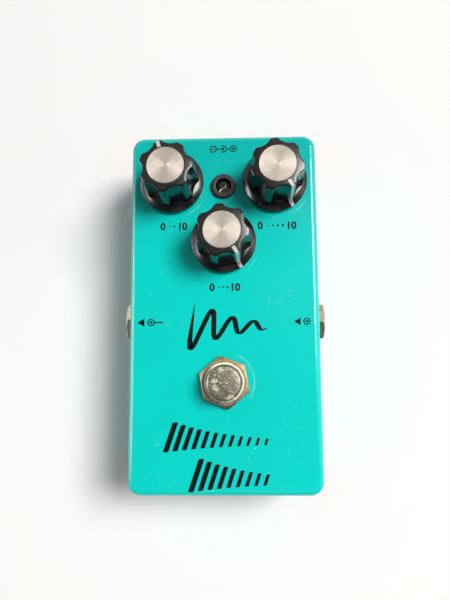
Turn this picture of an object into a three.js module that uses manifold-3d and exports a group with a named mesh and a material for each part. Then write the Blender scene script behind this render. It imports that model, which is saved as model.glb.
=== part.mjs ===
// A three-knob delay pedal in a small die-cast box. Millimetres, +Z up, +Y to the end with the power jack.
// The origin is on the surface that the rubber feet stand on, under the middle of the whole part.
import * as THREE from "three";
import { mergeVertices } from "three/addons/utils/BufferGeometryUtils.js";
import Module from "manifold-3d";

const wasm = await Module();
wasm.setup();

// Clearances, the overrun of every cut and the distance within which corners are one
const FIT = 0.15;
const RUN = 0.2;
const SEAT = 0.05;
const OVERRUN = 1;
const MERGE_DISTANCE = 1e-4;

// Facets
const ROUND_STEPS = 20;
const NUT_STEPS = 24;
const INNER_STEPS = 16;
const TINY_STEPS = 10;
const SKIRT_STEPS = 35;
const CORNER_STEPS = 4;
const EDGE_STEPS = 3;
const DOME_STEPS = 4;

// Die-cast box, measured at its open edge
const CASE_WIDTH = 60.5;
const CASE_LENGTH = 112.4;
const CASE_HEIGHT = 27;
const WALL = 2.3;
const SIDE_DRAFT_DEG = 2.2;
const END_DRAFT_DEG = 1.5;
const CORNER_RADIUS = 4;
const INNER_CORNER_RADIUS = 1.8;
const RIM_ROUND = 1.8;
const POST_RADIUS = 4.2;
const POST_INSET = 6.2;
const POST_BORE_DEPTH = 14;

// Base plate
const LID_HEIGHT = 4;
const LID_PLATE = 2;
const LID_ROUND = 1;
const LIP_HEIGHT = 1.5;
const LIP_THICKNESS = 1.2;

// Base screws and feet
const SCREW_RADIUS = 1.75;
const SCREW_HEAD_RADIUS = 3.3;
const SCREW_HEAD_HEIGHT = 1.7;
const SCREW_LENGTH = 12;
const CROSS_WIDTH = 0.7;
const CROSS_SPAN = 3.2;
const CROSS_DEPTH = 1.2;
const FOOT_RADIUS = 5;
const FOOT_TIP_RADIUS = 4.3;
const FOOT_HEIGHT = 2.5;
const FOOT_SIDE_INSET = 10.75;
const FOOT_END_INSET = 17.7;
const FOOT_X = CASE_WIDTH / 2 - FOOT_SIDE_INSET;
const FOOT_Y = CASE_LENGTH / 2 - FOOT_END_INSET;
const STRIP_FOOT_GAP = 1;

// Places on the panel, set out from the case's sides and its back end
const KNOB_SIDE_INSET = 14.05;
const TOP_ROW_INSET = 16.05;
const LEVEL_DROP = 19.15;
const LED_DROP = 1.4;
const SWITCH_DROP = 62.35;
const KNOB_SPREAD = CASE_WIDTH / 2 - KNOB_SIDE_INSET;
const TOP_ROW_Y = CASE_LENGTH / 2 - TOP_ROW_INSET;
const LEVEL_Y = TOP_ROW_Y - LEVEL_DROP;
const LED_Y = TOP_ROW_Y - LED_DROP;
const SWITCH_Y = TOP_ROW_Y - SWITCH_DROP;

// Knob, with heights above the panel
const FLUTES = 7;
const KNOB_HEIGHT = 16.1;
const KNOB_GAP = 0.8;
const SKIRT_RADIUS = 10;
const SKIRT_RIM = 1.35;
const SKIRT_RISE = 0.95;
const SKIRT_EDGE = 0.3;
const LOBE_BASE_RADIUS = 8.6;
const LOBE_TOP_RADIUS = 7.85;
const FLUTE_BASE_RADIUS = 7.15;
const FLUTE_TOP_RADIUS = 6.75;
const FLUTE_RUNOUT = 0.9;
const LOBE_HALF_DEG = 8;
const KNOB_EDGE = 0.35;
const LOBE_ARC_STEPS = 2;
const FLUTE_ARC_STEPS = 4;
const CAP_RADIUS = 5.45;
const CAP_THICKNESS = 0.8;
const CAP_PROUD = 0.2;
const CAP_EDGE = 0.18;
const TIME_POINTER_DEG = 108;
const REPEAT_POINTER_DEG = -57;
const LEVEL_POINTER_DEG = -57;

// Knob insert and set screw
const INSERT_RADIUS = 4.4;
const INSERT_HEIGHT = 8.6;
const SET_SCREW_RADIUS = 1.5;
const SET_SCREW_LENGTH = 3.4;
const SET_SCREW_HEIGHT = 6.8;
const SET_SCREW_SOCKET = 1.5;
const SET_SCREW_SOCKET_DEPTH = 1.3;
const SET_SCREW_FROM_POINTER_DEG = 38;

// Pot
const SHAFT_RADIUS = 3;
const SHAFT_TOP = 12.2;
const SHAFT_TAIL = 4;
const POT_BUSHING_RADIUS = 3.5;
const POT_BUSHING_LENGTH = 6;
const POT_CAN_RADIUS = 8.25;
const POT_CAN_DEPTH = 8;
const POT_CAN_ROUND = 0.8;
const POT_WAFER_WIDTH = 12.5;
const POT_WAFER_REACH = 3.6;
const POT_WAFER_THICKNESS = 1.6;
const POT_LEG_WIDTH = 1;
const POT_LEG_THICKNESS = 0.6;
const POT_LEG_PITCH = 5;
const POT_LEG_DROP = 0.6;
const POT_NUT_FLATS = 10;
const POT_NUT_HEIGHT = 2;
const POT_WASHER_RADIUS = 5.5;
const POT_WASHER_THICKNESS = 0.6;
const NUT_CLEARANCE = 0.4;
const NUT_CHAMFER_DEG = 30;

// LED and bezel
const BEZEL_RADIUS = 3.9;
const BEZEL_HEIGHT = 1.3;
const BEZEL_EDGE = 0.45;
const BEZEL_APERTURE = 2.37;
const BEZEL_LIP = 0.5;
const BEZEL_TUBE_WALL = 0.6;
const BEZEL_TUBE_LENGTH = 5.4;
const LED_RADIUS = 2.5;
const LED_LENGTH = 8.6;
const LED_SINK = 0.3;
const LED_FLANGE_RADIUS = 2.9;
const LED_FLANGE_HEIGHT = 1;
const LED_LEAD = 0.5;
const LED_LEAD_PITCH = 2.54;
const COLLAR_WALL = 0.8;
const COLLAR_HEIGHT = 3.2;

// Footswitch
const BUSHING_RADIUS = 6;
const BUSHING_BORE = 5.4;
const BUSHING_ABOVE = 3.2;
const BUSHING_LENGTH = 10;
const BUTTON_RADIUS = 5.15;
const BUTTON_ABOVE = 8.5;
const BUTTON_EDGE = 0.75;
const BUTTON_TRAVEL = 2.5;
const BUTTON_STEM_RADIUS = 2;
const BUTTON_STEM_REACH = 3.2;
const BUTTON_SHOULDER = 6;
const SWITCH_FLOOR_DEPTH = 2;
const SWITCH_NUT_FLATS = 14;
const SWITCH_NUT_TURN_DEG = 39.4;
const SWITCH_NUT_HEIGHT = 2.3;
const LOWER_NUT_HEIGHT = 2;
const LOCK_WASHER_RADIUS = 7.6;
const LOCK_WASHER_THICKNESS = 0.5;
const SWITCH_BODY = 17;
const SWITCH_BODY_HEIGHT = 11;
const SWITCH_BODY_ROUND = 1;
const BRACKET_THICKNESS = 1;
const LUG_PITCH = 5;
const LUG_WIDTH = 2.2;
const LUG_THICKNESS = 0.8;
const LUG_LENGTH = 3.4;
const SPRING_WIRE_RADIUS = 0.35;
const SPRING_RADIUS = 3.4;
const SPRING_TURNS = 4;
const SPRING_TURN_STEPS = 8;
const SPRING_SIDES = 5;

// Side jacks
const JACK_DROP = 43.25;
const JACK_Y = TOP_ROW_Y - JACK_DROP;
const JACK_Z = 13.5;
const JACK_BUSHING_RADIUS = 4.5;
const JACK_BORE = 3.3;
const JACK_MOUTH = 0.5;
const JACK_SINK = 0.2;
const JACK_WIDTH = 15.5;
const JACK_DEPTH = 14;
const JACK_LENGTH = 20;
const JACK_ROUND = 1.2;
const JACK_NUT_FLATS = 11;
const JACK_NUT_HEIGHT = 1.8;
const JACK_WASHER_RADIUS = 6.3;
const JACK_WASHER_THICKNESS = 0.6;
const JACK_LUG_LENGTH = 3;
const OUTPUT_NUT_TURN_DEG = 5;
const INPUT_NUT_TURN_DEG = 6;

// Power jack
const POWER_Z = 13.5;
const POWER_FLANGE_RADIUS = 7;
const POWER_FLANGE_THICKNESS = 1.8;
const POWER_FLANGE_EDGE = 0.5;
const POWER_BARREL_RADIUS = 6;
const POWER_BARREL_LENGTH = 13;
const POWER_BORE = 3.15;
const POWER_BORE_DEPTH = 9.5;
const POWER_PIN_RADIUS = 1.05;
const POWER_PIN_LENGTH = 8;
const POWER_PIN_ROOT = 1.5;
const POWER_NUT_FLATS = 14;
const POWER_NUT_HEIGHT = 2.4;
const POWER_LUG_SPREAD = 5;

// Circuit board and what is soldered under it
const BOARD_WIDTH = 50;
const BOARD_THICKNESS = 1.6;
const BOARD_POST_GAP = 0.6;
const BOARD_JACK_GAP = 2.9;
const BOARD_NOTCH_GAP = 1;
const CHIP_WIDTH = 6.4;
const CHIP_HEIGHT = 3.3;
const CHIP_SLOPE = 0.3;
const CHIP_PIN_PITCH = 2.54;
const CHIP_ROW_GAP = 7.62;
const CHIP_STANDOFF = 0.6;
const CHIP_PIN_WIDTH = 0.6;
const CHIP_PIN_THICKNESS = 0.3;
const CHIP_NOTCH_RADIUS = 0.8;
const CHIP_NOTCH_DEPTH = 0.4;
const SMALL_CHIP_PINS = 4;
const LARGE_CHIP_PINS = 8;
const LARGE_CHIP_ROW_SHARE = 0.25;
const SMALL_CHIP_ROW_SHARE = 0.5;
const CAPACITOR_ROW_SHARE = 0.8;
const CAPACITOR_RADIUS = 3.15;
const CAPACITOR_HEIGHT = 8;
const CAPACITOR_GROOVE = 0.3;
const CAPACITOR_EDGE = 0.4;

// Heights worked out from the sizes above
const LID_TOP = FOOT_HEIGHT + LID_HEIGHT;
const PANEL = LID_TOP + CASE_HEIGHT;
const CEILING = PANEL - WALL;
const SIDE_SLOPE = Math.tan(THREE.MathUtils.degToRad(SIDE_DRAFT_DEG));
const END_SLOPE = Math.tan(THREE.MathUtils.degToRad(END_DRAFT_DEG));
const BOARD_TOP = CEILING - POT_CAN_DEPTH - POT_LEG_DROP;
const BOARD_BOTTOM = BOARD_TOP - BOARD_THICKNESS;

/** A finish for one kind of piece. */
function finish(color, roughness, metalness) {
  return new THREE.MeshStandardMaterial({ color, roughness, metalness });
}

const PAINT = finish(0x14cbbe, 0.35, 0.1);
const BLACK_PLASTIC = finish(0x17181a, 0.25, 0);
const SPUN_METAL = finish(0xd6d3cb, 0.3, 1);
const NICKEL = finish(0xb9b6ac, 0.25, 1);
const WORN_CHROME = finish(0x9a978c, 0.3, 1);
const DARK_STEEL = finish(0x55565a, 0.4, 1);
const BRASS = finish(0xc9a45a, 0.35, 1);
const RUBBER = finish(0x1b1b1b, 0.9, 0);
const CLEAR = finish(0xdfe6e4, 0.05, 0);
const BLUE_PLASTIC = finish(0x2d5fb0, 0.4, 0);
const BOARD_GREEN = finish(0x1d6b3a, 0.5, 0);
const CHIP_BLACK = finish(0x202124, 0.5, 0);
const SLEEVE_BLUE = finish(0x1e2d52, 0.4, 0);

/** A closed geometry as a solid whose faces point out. */
function solidOf(geometry) {
  const bare = geometry.index ? geometry.toNonIndexed() : geometry;
  const places = new THREE.BufferGeometry().setAttribute("position", bare.getAttribute("position"));
  const merged = mergeVertices(places, MERGE_DISTANCE);
  const position = merged.getAttribute("position");
  const corners = [];
  let volume = 0;
  const [a, b, c] = [new THREE.Vector3(), new THREE.Vector3(), new THREE.Vector3()];
  for (let i = 0; i < merged.index.count; i += 3) {
    const [i0, i1, i2] = [0, 1, 2].map((k) => merged.index.getX(i + k));
    if (i0 === i1 || i1 === i2 || i2 === i0) continue;
    corners.push([i0, i1, i2]);
    a.fromBufferAttribute(position, i0);
    b.fromBufferAttribute(position, i1);
    c.fromBufferAttribute(position, i2);
    volume += a.dot(b.cross(c));
  }
  const triVerts = new Uint32Array(corners.flatMap((t) => (volume < 0 ? [t[0], t[2], t[1]] : t)));
  const vertProperties = new Float32Array(position.array);
  return new wasm.Manifold(new wasm.Mesh({ numProp: 3, vertProperties, triVerts }));
}

/** A named mesh of a solid. */
function piece(name, solid, material) {
  const { vertProperties, triVerts } = solid.getMesh();
  const geometry = new THREE.BufferGeometry();
  geometry.setAttribute("position", new THREE.BufferAttribute(new Float32Array(vertProperties), 3));
  geometry.setIndex(new THREE.BufferAttribute(new Uint32Array(triVerts), 1));
  geometry.computeVertexNormals();
  const mesh = new THREE.Mesh(geometry, material);
  mesh.name = name;
  return mesh;
}

/** A group of meshes at a place, turned by its Euler angles. */
function groupAt(position, rotation, children) {
  const group = new THREE.Group();
  group.position.set(...position);
  group.rotation.set(...rotation);
  if (children.length) group.add(...children);
  group.updateMatrix();
  return group;
}

/** A solid moved by a vector. */
function moved(solid, x, y, z) {
  return solid.translate([x, y, z]);
}

/** A solid of revolution about Z from points [radius, z]. */
function revolve(points, steps = ROUND_STEPS) {
  const profile = points.map(([r, z]) => new THREE.Vector2(r, z));
  return solidOf(new THREE.LatheGeometry(profile, steps).rotateX(Math.PI / 2));
}

/** A round bar about Z between two heights. */
function bar(radius, low, high, steps = ROUND_STEPS) {
  return revolve([[0, low], [radius, low], [radius, high], [0, high]], steps);
}

/** A round tube about Z between two heights. */
function tube(outer, inner, low, high, steps = ROUND_STEPS) {
  return revolve([[inner, low], [outer, low], [outer, high], [inner, high], [inner, low]], steps);
}

/** A box centred in X and Y between two heights. */
function block(x, y, low, high) {
  return solidOf(new THREE.BoxGeometry(x, y, high - low).translate(0, 0, (low + high) / 2));
}

/** A shape in X and Y pushed up between two heights. */
function extrude(shape, low, high) {
  const settings = { depth: high - low, bevelEnabled: false, curveSegments: CORNER_STEPS };
  return solidOf(new THREE.ExtrudeGeometry(shape, settings).translate(0, 0, low));
}

/** The outline of a rectangle with round corners, as points at one height. */
function roundedRing(halfX, halfY, radius, z) {
  const points = [];
  for (let quarter = 0; quarter < 4; quarter++) {
    const signX = quarter === 0 || quarter === 3 ? 1 : -1;
    const signY = quarter < 2 ? 1 : -1;
    for (let step = 0; step <= CORNER_STEPS; step++) {
      const angle = ((quarter + step / CORNER_STEPS) * Math.PI) / 2;
      const x = signX * (halfX - radius) + radius * Math.cos(angle);
      const y = signY * (halfY - radius) + radius * Math.sin(angle);
      points.push(new THREE.Vector3(x, y, z));
    }
  }
  return points;
}

/** A solid through rings of equally many points, closed at both ends by fans. */
function loft(rings) {
  const count = rings[0].length;
  const corners = [];
  rings.slice(1).forEach((upper, index) => {
    const lower = rings[index];
    for (let i = 0; i < count; i++) {
      const next = (i + 1) % count;
      corners.push(lower[i], lower[next], upper[next], lower[i], upper[next], upper[i]);
    }
  });
  const ends = [[rings[0], true], [rings[rings.length - 1], false]];
  for (const [ring, turned] of ends) {
    const middle = new THREE.Vector3(0, 0, ring[0].z);
    for (let i = 0; i < count; i++) {
      const pair = [ring[i], ring[(i + 1) % count]];
      corners.push(middle, ...(turned ? pair.reverse() : pair));
    }
  }
  return solidOf(new THREE.BufferGeometry().setFromPoints(corners));
}

/** A hexagon across Y flats, with a corner on +X, pushed up between two heights. */
function hexBar(flats, low, high) {
  const radius = flats / Math.sqrt(3);
  const shape = new THREE.Shape();
  for (let corner = 0; corner < 6; corner++) {
    const angle = (corner * Math.PI) / 3;
    const point = [radius * Math.cos(angle), radius * Math.sin(angle)];
    if (corner) shape.lineTo(...point);
    else shape.moveTo(...point);
  }
  return extrude(shape, low, high);
}

/** A plain hex nut between two heights. */
function plainNut(flats, bore, low, high) {
  return hexBar(flats, low, high).subtract(bar(bore, low - OVERRUN, high + OVERRUN, INNER_STEPS));
}

/** A hex nut whose corners are chamfered at the top. */
function hexNut(flats, bore, low, high) {
  const inner = flats / 2;
  const outer = flats / Math.sqrt(3);
  const drop = (outer - inner) * Math.tan(THREE.MathUtils.degToRad(NUT_CHAMFER_DEG));
  const dome = revolve([[0, low], [outer, low], [outer, high - drop], [inner, high], [0, high]], NUT_STEPS);
  return plainNut(flats, bore, low, high).intersect(dome);
}

/** Half the case's outer width and length at a height, less an inset. */
function caseHalves(z, inset) {
  const rise = z - LID_TOP;
  return [CASE_WIDTH / 2 - rise * SIDE_SLOPE - inset, CASE_LENGTH / 2 - rise * END_SLOPE - inset];
}

/** The places of the four corner posts, and so of the base screws. */
function postPlaces() {
  const x = CASE_WIDTH / 2 - POST_INSET;
  const y = CASE_LENGTH / 2 - POST_INSET;
  return { front_left: [-x, -y], front_right: [x, -y], back_left: [-x, y], back_right: [x, y] };
}

/** The group frames of the pieces that sit square on a drafted wall: local +Z points out. */
function wallFrames() {
  const side = Math.PI / 2 - THREE.MathUtils.degToRad(SIDE_DRAFT_DEG);
  const end = Math.PI / 2 - THREE.MathUtils.degToRad(END_DRAFT_DEG);
  const jackZ = LID_TOP + JACK_Z;
  const powerZ = LID_TOP + POWER_Z;
  const wallX = caseHalves(jackZ, 0)[0];
  const wallY = caseHalves(powerZ, 0)[1];
  return {
    output: [[-wallX, JACK_Y, jackZ], [0, -side, Math.PI]],
    input: [[wallX, JACK_Y, jackZ], [0, side, 0]],
    power: [[0, wallY, powerZ], [-end, 0, 0]],
  };
}

/** The places of the three controls on the panel, with each pointer's angle. */
function controls() {
  return {
    time: { x: -KNOB_SPREAD, y: TOP_ROW_Y, pointer: TIME_POINTER_DEG },
    repeat: { x: KNOB_SPREAD, y: TOP_ROW_Y, pointer: REPEAT_POINTER_DEG },
    level: { x: 0, y: LEVEL_Y, pointer: LEVEL_POINTER_DEG },
  };
}

/** The outer form of the case: drafted walls and a rounded rim. */
function caseForm() {
  const rings = [roundedRing(...caseHalves(LID_TOP, 0), CORNER_RADIUS, LID_TOP)];
  for (let step = 0; step <= EDGE_STEPS; step++) {
    const angle = ((step / EDGE_STEPS) * Math.PI) / 2;
    const inset = RIM_ROUND * (1 - Math.cos(angle));
    const z = PANEL - RIM_ROUND * (1 - Math.sin(angle));
    const low = PANEL - RIM_ROUND;
    rings.push(roundedRing(...caseHalves(low, inset), CORNER_RADIUS - inset, z));
  }
  return loft(rings);
}

/** The hollow of the case, from below its open edge up to the panel's inner face. */
function caseHollow() {
  const radius = INNER_CORNER_RADIUS;
  const low = LID_TOP - OVERRUN;
  return loft([
    roundedRing(...caseHalves(low, WALL), radius, low),
    roundedRing(...caseHalves(CEILING, WALL), radius, CEILING),
  ]);
}

/** The holes through the panel and the three drilled walls. */
function caseHoles() {
  const cuts = [];
  const through = (radius, x, y) => {
    cuts.push(moved(bar(radius, CEILING - OVERRUN, PANEL + OVERRUN), x, y, 0));
  };
  for (const { x, y } of Object.values(controls())) through(POT_BUSHING_RADIUS + FIT, x, y);
  through(bezelTubeRadius() + FIT, 0, LED_Y);
  through(BUSHING_RADIUS + FIT, 0, SWITCH_Y);
  const radii = { output: JACK_BUSHING_RADIUS, input: JACK_BUSHING_RADIUS, power: POWER_BARREL_RADIUS };
  for (const [name, frame] of Object.entries(wallFrames())) {
    const hole = bar(radii[name] + FIT, -WALL - OVERRUN, OVERRUN);
    cuts.push(hole.transform(groupAt(...frame, []).matrix.elements));
  }
  return wasm.Manifold.union(cuts);
}

/** The case: one shell with four posts that take the base screws. */
function enclosure() {
  const places = Object.values(postPlaces());
  const posts = places.map(([x, y]) =>
    moved(bar(POST_RADIUS, LID_TOP, CEILING + WALL / 2, INNER_STEPS), x, y, 0));
  const bores = places.map(([x, y]) =>
    moved(bar(SCREW_RADIUS + FIT, LID_TOP - OVERRUN, LID_TOP + POST_BORE_DEPTH, INNER_STEPS), x, y, 0));
  const shell = caseForm().subtract(caseHollow());
  const solid = wasm.Manifold.union([shell, ...posts]);
  return piece("enclosure", solid.subtract(wasm.Manifold.union([...bores, caseHoles()])), PAINT);
}

/** The lip under the case's open edge, which locates the base plate between the walls and the posts. */
function baseLip() {
  const outer = WALL + FIT;
  const inner = outer + LIP_THICKNESS;
  const top = LID_TOP + LIP_HEIGHT;
  const low = LID_TOP - LID_HEIGHT + LID_PLATE;
  const ring = (inset, z) => roundedRing(...caseHalves(top, inset), INNER_CORNER_RADIUS, z);
  const solid = loft([ring(outer, low), ring(outer, top)]);
  const hollow = loft([ring(inner, low - OVERRUN), ring(inner, top + OVERRUN)]);
  const clear = Object.values(postPlaces()).map(([x, y]) =>
    moved(bar(POST_RADIUS + FIT, LID_TOP, top + OVERRUN, INNER_STEPS), x, y, 0));
  return solid.subtract(wasm.Manifold.union([hollow, ...clear]));
}

/** The base plate: a shallow tray with four countersunk holes. */
function basePlate() {
  const low = FOOT_HEIGHT;
  const [halfX, halfY] = caseHalves(LID_TOP, 0);
  const form = loft([
    roundedRing(halfX - LID_ROUND, halfY - LID_ROUND, CORNER_RADIUS - LID_ROUND, low),
    roundedRing(halfX, halfY, CORNER_RADIUS, low + LID_ROUND),
    roundedRing(halfX, halfY, CORNER_RADIUS, LID_TOP - SEAT),
  ]);
  const rim = WALL + FIT;
  const recess = loft([
    roundedRing(halfX - rim, halfY - rim, INNER_CORNER_RADIUS, low + LID_PLATE),
    roundedRing(halfX - rim, halfY - rim, INNER_CORNER_RADIUS, LID_TOP + OVERRUN),
  ]);
  const pads = Object.values(postPlaces()).map(([x, y]) =>
    moved(bar(POST_RADIUS, low + LID_PLATE - SEAT, LID_TOP - SEAT, INNER_STEPS), x, y, 0));
  const sink = revolve([
    [0, low - OVERRUN],
    [SCREW_HEAD_RADIUS + FIT, low - OVERRUN],
    [SCREW_HEAD_RADIUS + FIT, low + FIT],
    [SCREW_RADIUS + FIT, low + SCREW_HEAD_HEIGHT + FIT],
    [SCREW_RADIUS + FIT, LID_TOP + OVERRUN],
    [0, LID_TOP + OVERRUN],
  ], INNER_STEPS);
  const holes = Object.values(postPlaces()).map(([x, y]) => moved(sink, x, y, 0));
  const plate = wasm.Manifold.union([form.subtract(recess), baseLip(), ...pads]);
  return piece("base_plate", withStrip(plate.subtract(wasm.Manifold.union(holes))), PAINT);
}

/** The plate with the bare strip between its feet as a face of its own, where hook tape is stuck. */
function withStrip(plate) {
  const width = 2 * (FOOT_X - FOOT_RADIUS - STRIP_FOOT_GAP);
  const length = CASE_LENGTH + 2 * OVERRUN;
  const strip = block(width, length, 0, LID_TOP + CASE_HEIGHT);
  return plate.intersect(strip).asOriginal().add(plate.subtract(strip).asOriginal());
}

/** A countersunk cross-head screw, head down at the underside of the base plate. */
function baseScrew(name, [x, y]) {
  const low = FOOT_HEIGHT + FIT;
  const stem = revolve([
    [0, low],
    [SCREW_HEAD_RADIUS, low],
    [SCREW_RADIUS, low + SCREW_HEAD_HEIGHT],
    [SCREW_RADIUS, low + SCREW_LENGTH],
    [0, low + SCREW_LENGTH],
  ], INNER_STEPS);
  const bladeX = block(CROSS_SPAN, CROSS_WIDTH, low - OVERRUN, low + CROSS_DEPTH);
  const bladeY = block(CROSS_WIDTH, CROSS_SPAN, low - OVERRUN, low + CROSS_DEPTH);
  return piece(name, moved(stem.subtract(bladeX.add(bladeY)), x, y, 0), DARK_STEEL);
}

/** A round rubber foot, slightly tapered, stuck under the base plate. */
function foot(name, x, y) {
  const solid = revolve([[0, 0], [FOOT_TIP_RADIUS, 0], [FOOT_RADIUS, FOOT_HEIGHT], [0, FOOT_HEIGHT]]);
  return piece(name, moved(solid, x, y, 0), RUBBER);
}

/** The fluted outline of the knob: round lobes joined by hollow arcs, as points at one height. */
function flutedRing(lobeRadius, fluteRadius, z) {
  const pitch = (2 * Math.PI) / FLUTES;
  const half = THREE.MathUtils.degToRad(LOBE_HALF_DEG);
  const span = pitch / 2 - half;
  const chord = lobeRadius * Math.cos(span) - fluteRadius;
  const centre = (lobeRadius ** 2 - fluteRadius ** 2) / (2 * chord);
  const hollow = centre - fluteRadius;
  const sweep = Math.asin((lobeRadius * Math.sin(span)) / hollow);
  const points = [];
  for (let lobe = 0; lobe < FLUTES; lobe++) {
    const middle = lobe * pitch;
    for (let step = 0; step <= LOBE_ARC_STEPS; step++) {
      const angle = middle - half + (2 * half * step) / LOBE_ARC_STEPS;
      points.push(new THREE.Vector3(lobeRadius * Math.cos(angle), lobeRadius * Math.sin(angle), z));
    }
    const along = middle + pitch / 2;
    for (let step = 1; step < FLUTE_ARC_STEPS; step++) {
      const turn = sweep * ((2 * step) / FLUTE_ARC_STEPS - 1);
      const out = centre - hollow * Math.cos(turn);
      const across = hollow * Math.sin(turn);
      const x = out * Math.cos(along) - across * Math.sin(along);
      const y = out * Math.sin(along) + across * Math.cos(along);
      points.push(new THREE.Vector3(x, y, z));
    }
  }
  return points;
}

/** The knob's outer form: a skirt with a sloped top, and the fluted grip that grows out of it. */
function knobForm() {
  const rimTop = KNOB_GAP + SKIRT_RIM;
  const skirtTop = rimTop + SKIRT_RISE;
  const edge = SKIRT_EDGE;
  const skirt = revolve([
    [0, KNOB_GAP],
    [SKIRT_RADIUS - edge, KNOB_GAP],
    [SKIRT_RADIUS, KNOB_GAP + edge],
    [SKIRT_RADIUS, rimTop - edge],
    [SKIRT_RADIUS - edge, rimTop],
    [FLUTE_BASE_RADIUS, skirtTop],
    [0, skirtTop],
  ], SKIRT_STEPS);
  const grip = (z, inset, flare) => {
    const share = (z - skirtTop) / (KNOB_HEIGHT - skirtTop);
    const lobe = THREE.MathUtils.lerp(LOBE_BASE_RADIUS, LOBE_TOP_RADIUS, share) - inset;
    const flute = THREE.MathUtils.lerp(FLUTE_BASE_RADIUS, FLUTE_TOP_RADIUS, share) - inset + flare;
    return flutedRing(lobe, flute, z);
  };
  const fluteFlare = (LOBE_BASE_RADIUS - FLUTE_BASE_RADIUS) / 2;
  const body = loft([
    grip(rimTop, 0, fluteFlare),
    grip(skirtTop, 0, fluteFlare / 2),
    grip(skirtTop + FLUTE_RUNOUT, 0, 0),
    grip(KNOB_HEIGHT - KNOB_EDGE, 0, 0),
    grip(KNOB_HEIGHT, KNOB_EDGE, 0),
  ]);
  return skirt.add(body);
}

/** The height of the knob's underside recess, which clears the pot's bushing and nut. */
function recessTop() {
  return POT_BUSHING_LENGTH - WALL + NUT_CLEARANCE;
}

/** The radius that clears the corners of the pot's nut and the washer under it. */
function recessRadius() {
  return Math.max(POT_NUT_FLATS / Math.sqrt(3), POT_WASHER_RADIUS) + NUT_CLEARANCE;
}

/** A bar along the set screw's line, between two distances from the knob's axis. */
function alongSetScrew(radius, from, to, steps = TINY_STEPS) {
  const line = bar(radius, from, to, steps).rotate([0, 90, 0]);
  return moved(line, 0, 0, SET_SCREW_HEIGHT).rotate([0, 0, SET_SCREW_FROM_POINTER_DEG]);
}

/** The moulded knob, with a seat for the cap, a bore for the insert and a hole for the set screw. */
function knob(name) {
  const seat = bar(CAP_RADIUS + FIT, KNOB_HEIGHT + CAP_PROUD - CAP_THICKNESS, KNOB_HEIGHT + OVERRUN);
  const bore = bar(INSERT_RADIUS + FIT, 0, recessTop() + INSERT_HEIGHT + FIT, INNER_STEPS);
  const recess = bar(recessRadius(), 0, recessTop(), INNER_STEPS);
  const hole = alongSetScrew(SET_SCREW_RADIUS + FIT, INSERT_RADIUS - OVERRUN, SKIRT_RADIUS);
  const cuts = wasm.Manifold.union([seat, bore, recess, hole]);
  return piece(`${name}_knob`, knobForm().subtract(cuts), BLACK_PLASTIC);
}

/** The spun metal disc in the top of the knob, with a bevelled edge. */
function knobCap(name) {
  const high = KNOB_HEIGHT + CAP_PROUD;
  const low = high - CAP_THICKNESS + SEAT;
  const solid = revolve([
    [0, low],
    [CAP_RADIUS, low],
    [CAP_RADIUS, high - CAP_EDGE],
    [CAP_RADIUS - CAP_EDGE, high],
    [0, high],
  ]);
  return piece(`${name}_knob_cap`, solid, SPUN_METAL);
}

/** The brass sleeve in the knob that grips the shaft. */
function knobInsert(name) {
  const low = recessTop() + SEAT;
  const sleeve = tube(INSERT_RADIUS, SHAFT_RADIUS + FIT, low, recessTop() + INSERT_HEIGHT, INNER_STEPS);
  const hole = alongSetScrew(SET_SCREW_RADIUS + FIT, 0, INSERT_RADIUS + OVERRUN);
  return piece(`${name}_knob_insert`, sleeve.subtract(hole), BRASS);
}

/** The socketed set screw, from the shaft outwards. */
function setScrew(name) {
  const from = SHAFT_RADIUS + FIT;
  const to = from + SET_SCREW_LENGTH;
  const socket = hexBar(SET_SCREW_SOCKET, to - SET_SCREW_SOCKET_DEPTH, to + OVERRUN).rotate([0, 90, 0]);
  const turned = moved(socket, 0, 0, SET_SCREW_HEIGHT).rotate([0, 0, SET_SCREW_FROM_POINTER_DEG]);
  return piece(`${name}_set_screw`, alongSetScrew(SET_SCREW_RADIUS, from, to).subtract(turned), DARK_STEEL);
}

/** The pot's shaft, which turns with the knob. */
function potShaft(name) {
  const solid = bar(SHAFT_RADIUS, -WALL - SHAFT_TAIL, SHAFT_TOP, INNER_STEPS);
  return piece(`${name}_pot_shaft`, solid, NICKEL);
}

/** The part of a control that turns: heights are above the panel, and the pointer is along +X. */
function turningControl(name, { x, y, pointer }) {
  const turn = [0, 0, THREE.MathUtils.degToRad(pointer)];
  const children = [knob(name), knobCap(name), knobInsert(name), setScrew(name), potShaft(name)];
  return groupAt([x, y, PANEL], turn, children);
}

/** The wafer that carries the pot's three legs down to the circuit board. */
function potWafer() {
  const face = -WALL;
  const low = face - POT_CAN_DEPTH;
  const reach = POT_CAN_RADIUS + POT_WAFER_REACH;
  const waferLow = low + POT_CAN_ROUND;
  const wafer = block(POT_WAFER_WIDTH, reach, waferLow, waferLow + POT_WAFER_THICKNESS);
  const legTop = waferLow + POT_WAFER_THICKNESS / 2;
  const leg = block(POT_LEG_WIDTH, POT_LEG_THICKNESS, BOARD_TOP - PANEL + SEAT, legTop);
  const legs = [-1, 0, 1].map((side) => moved(leg, side * POT_LEG_PITCH, 0, 0));
  const legY = -reach + POT_LEG_THICKNESS * 2;
  return moved(wafer, 0, -reach / 2, 0).add(moved(wasm.Manifold.union(legs), 0, legY, 0));
}

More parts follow.
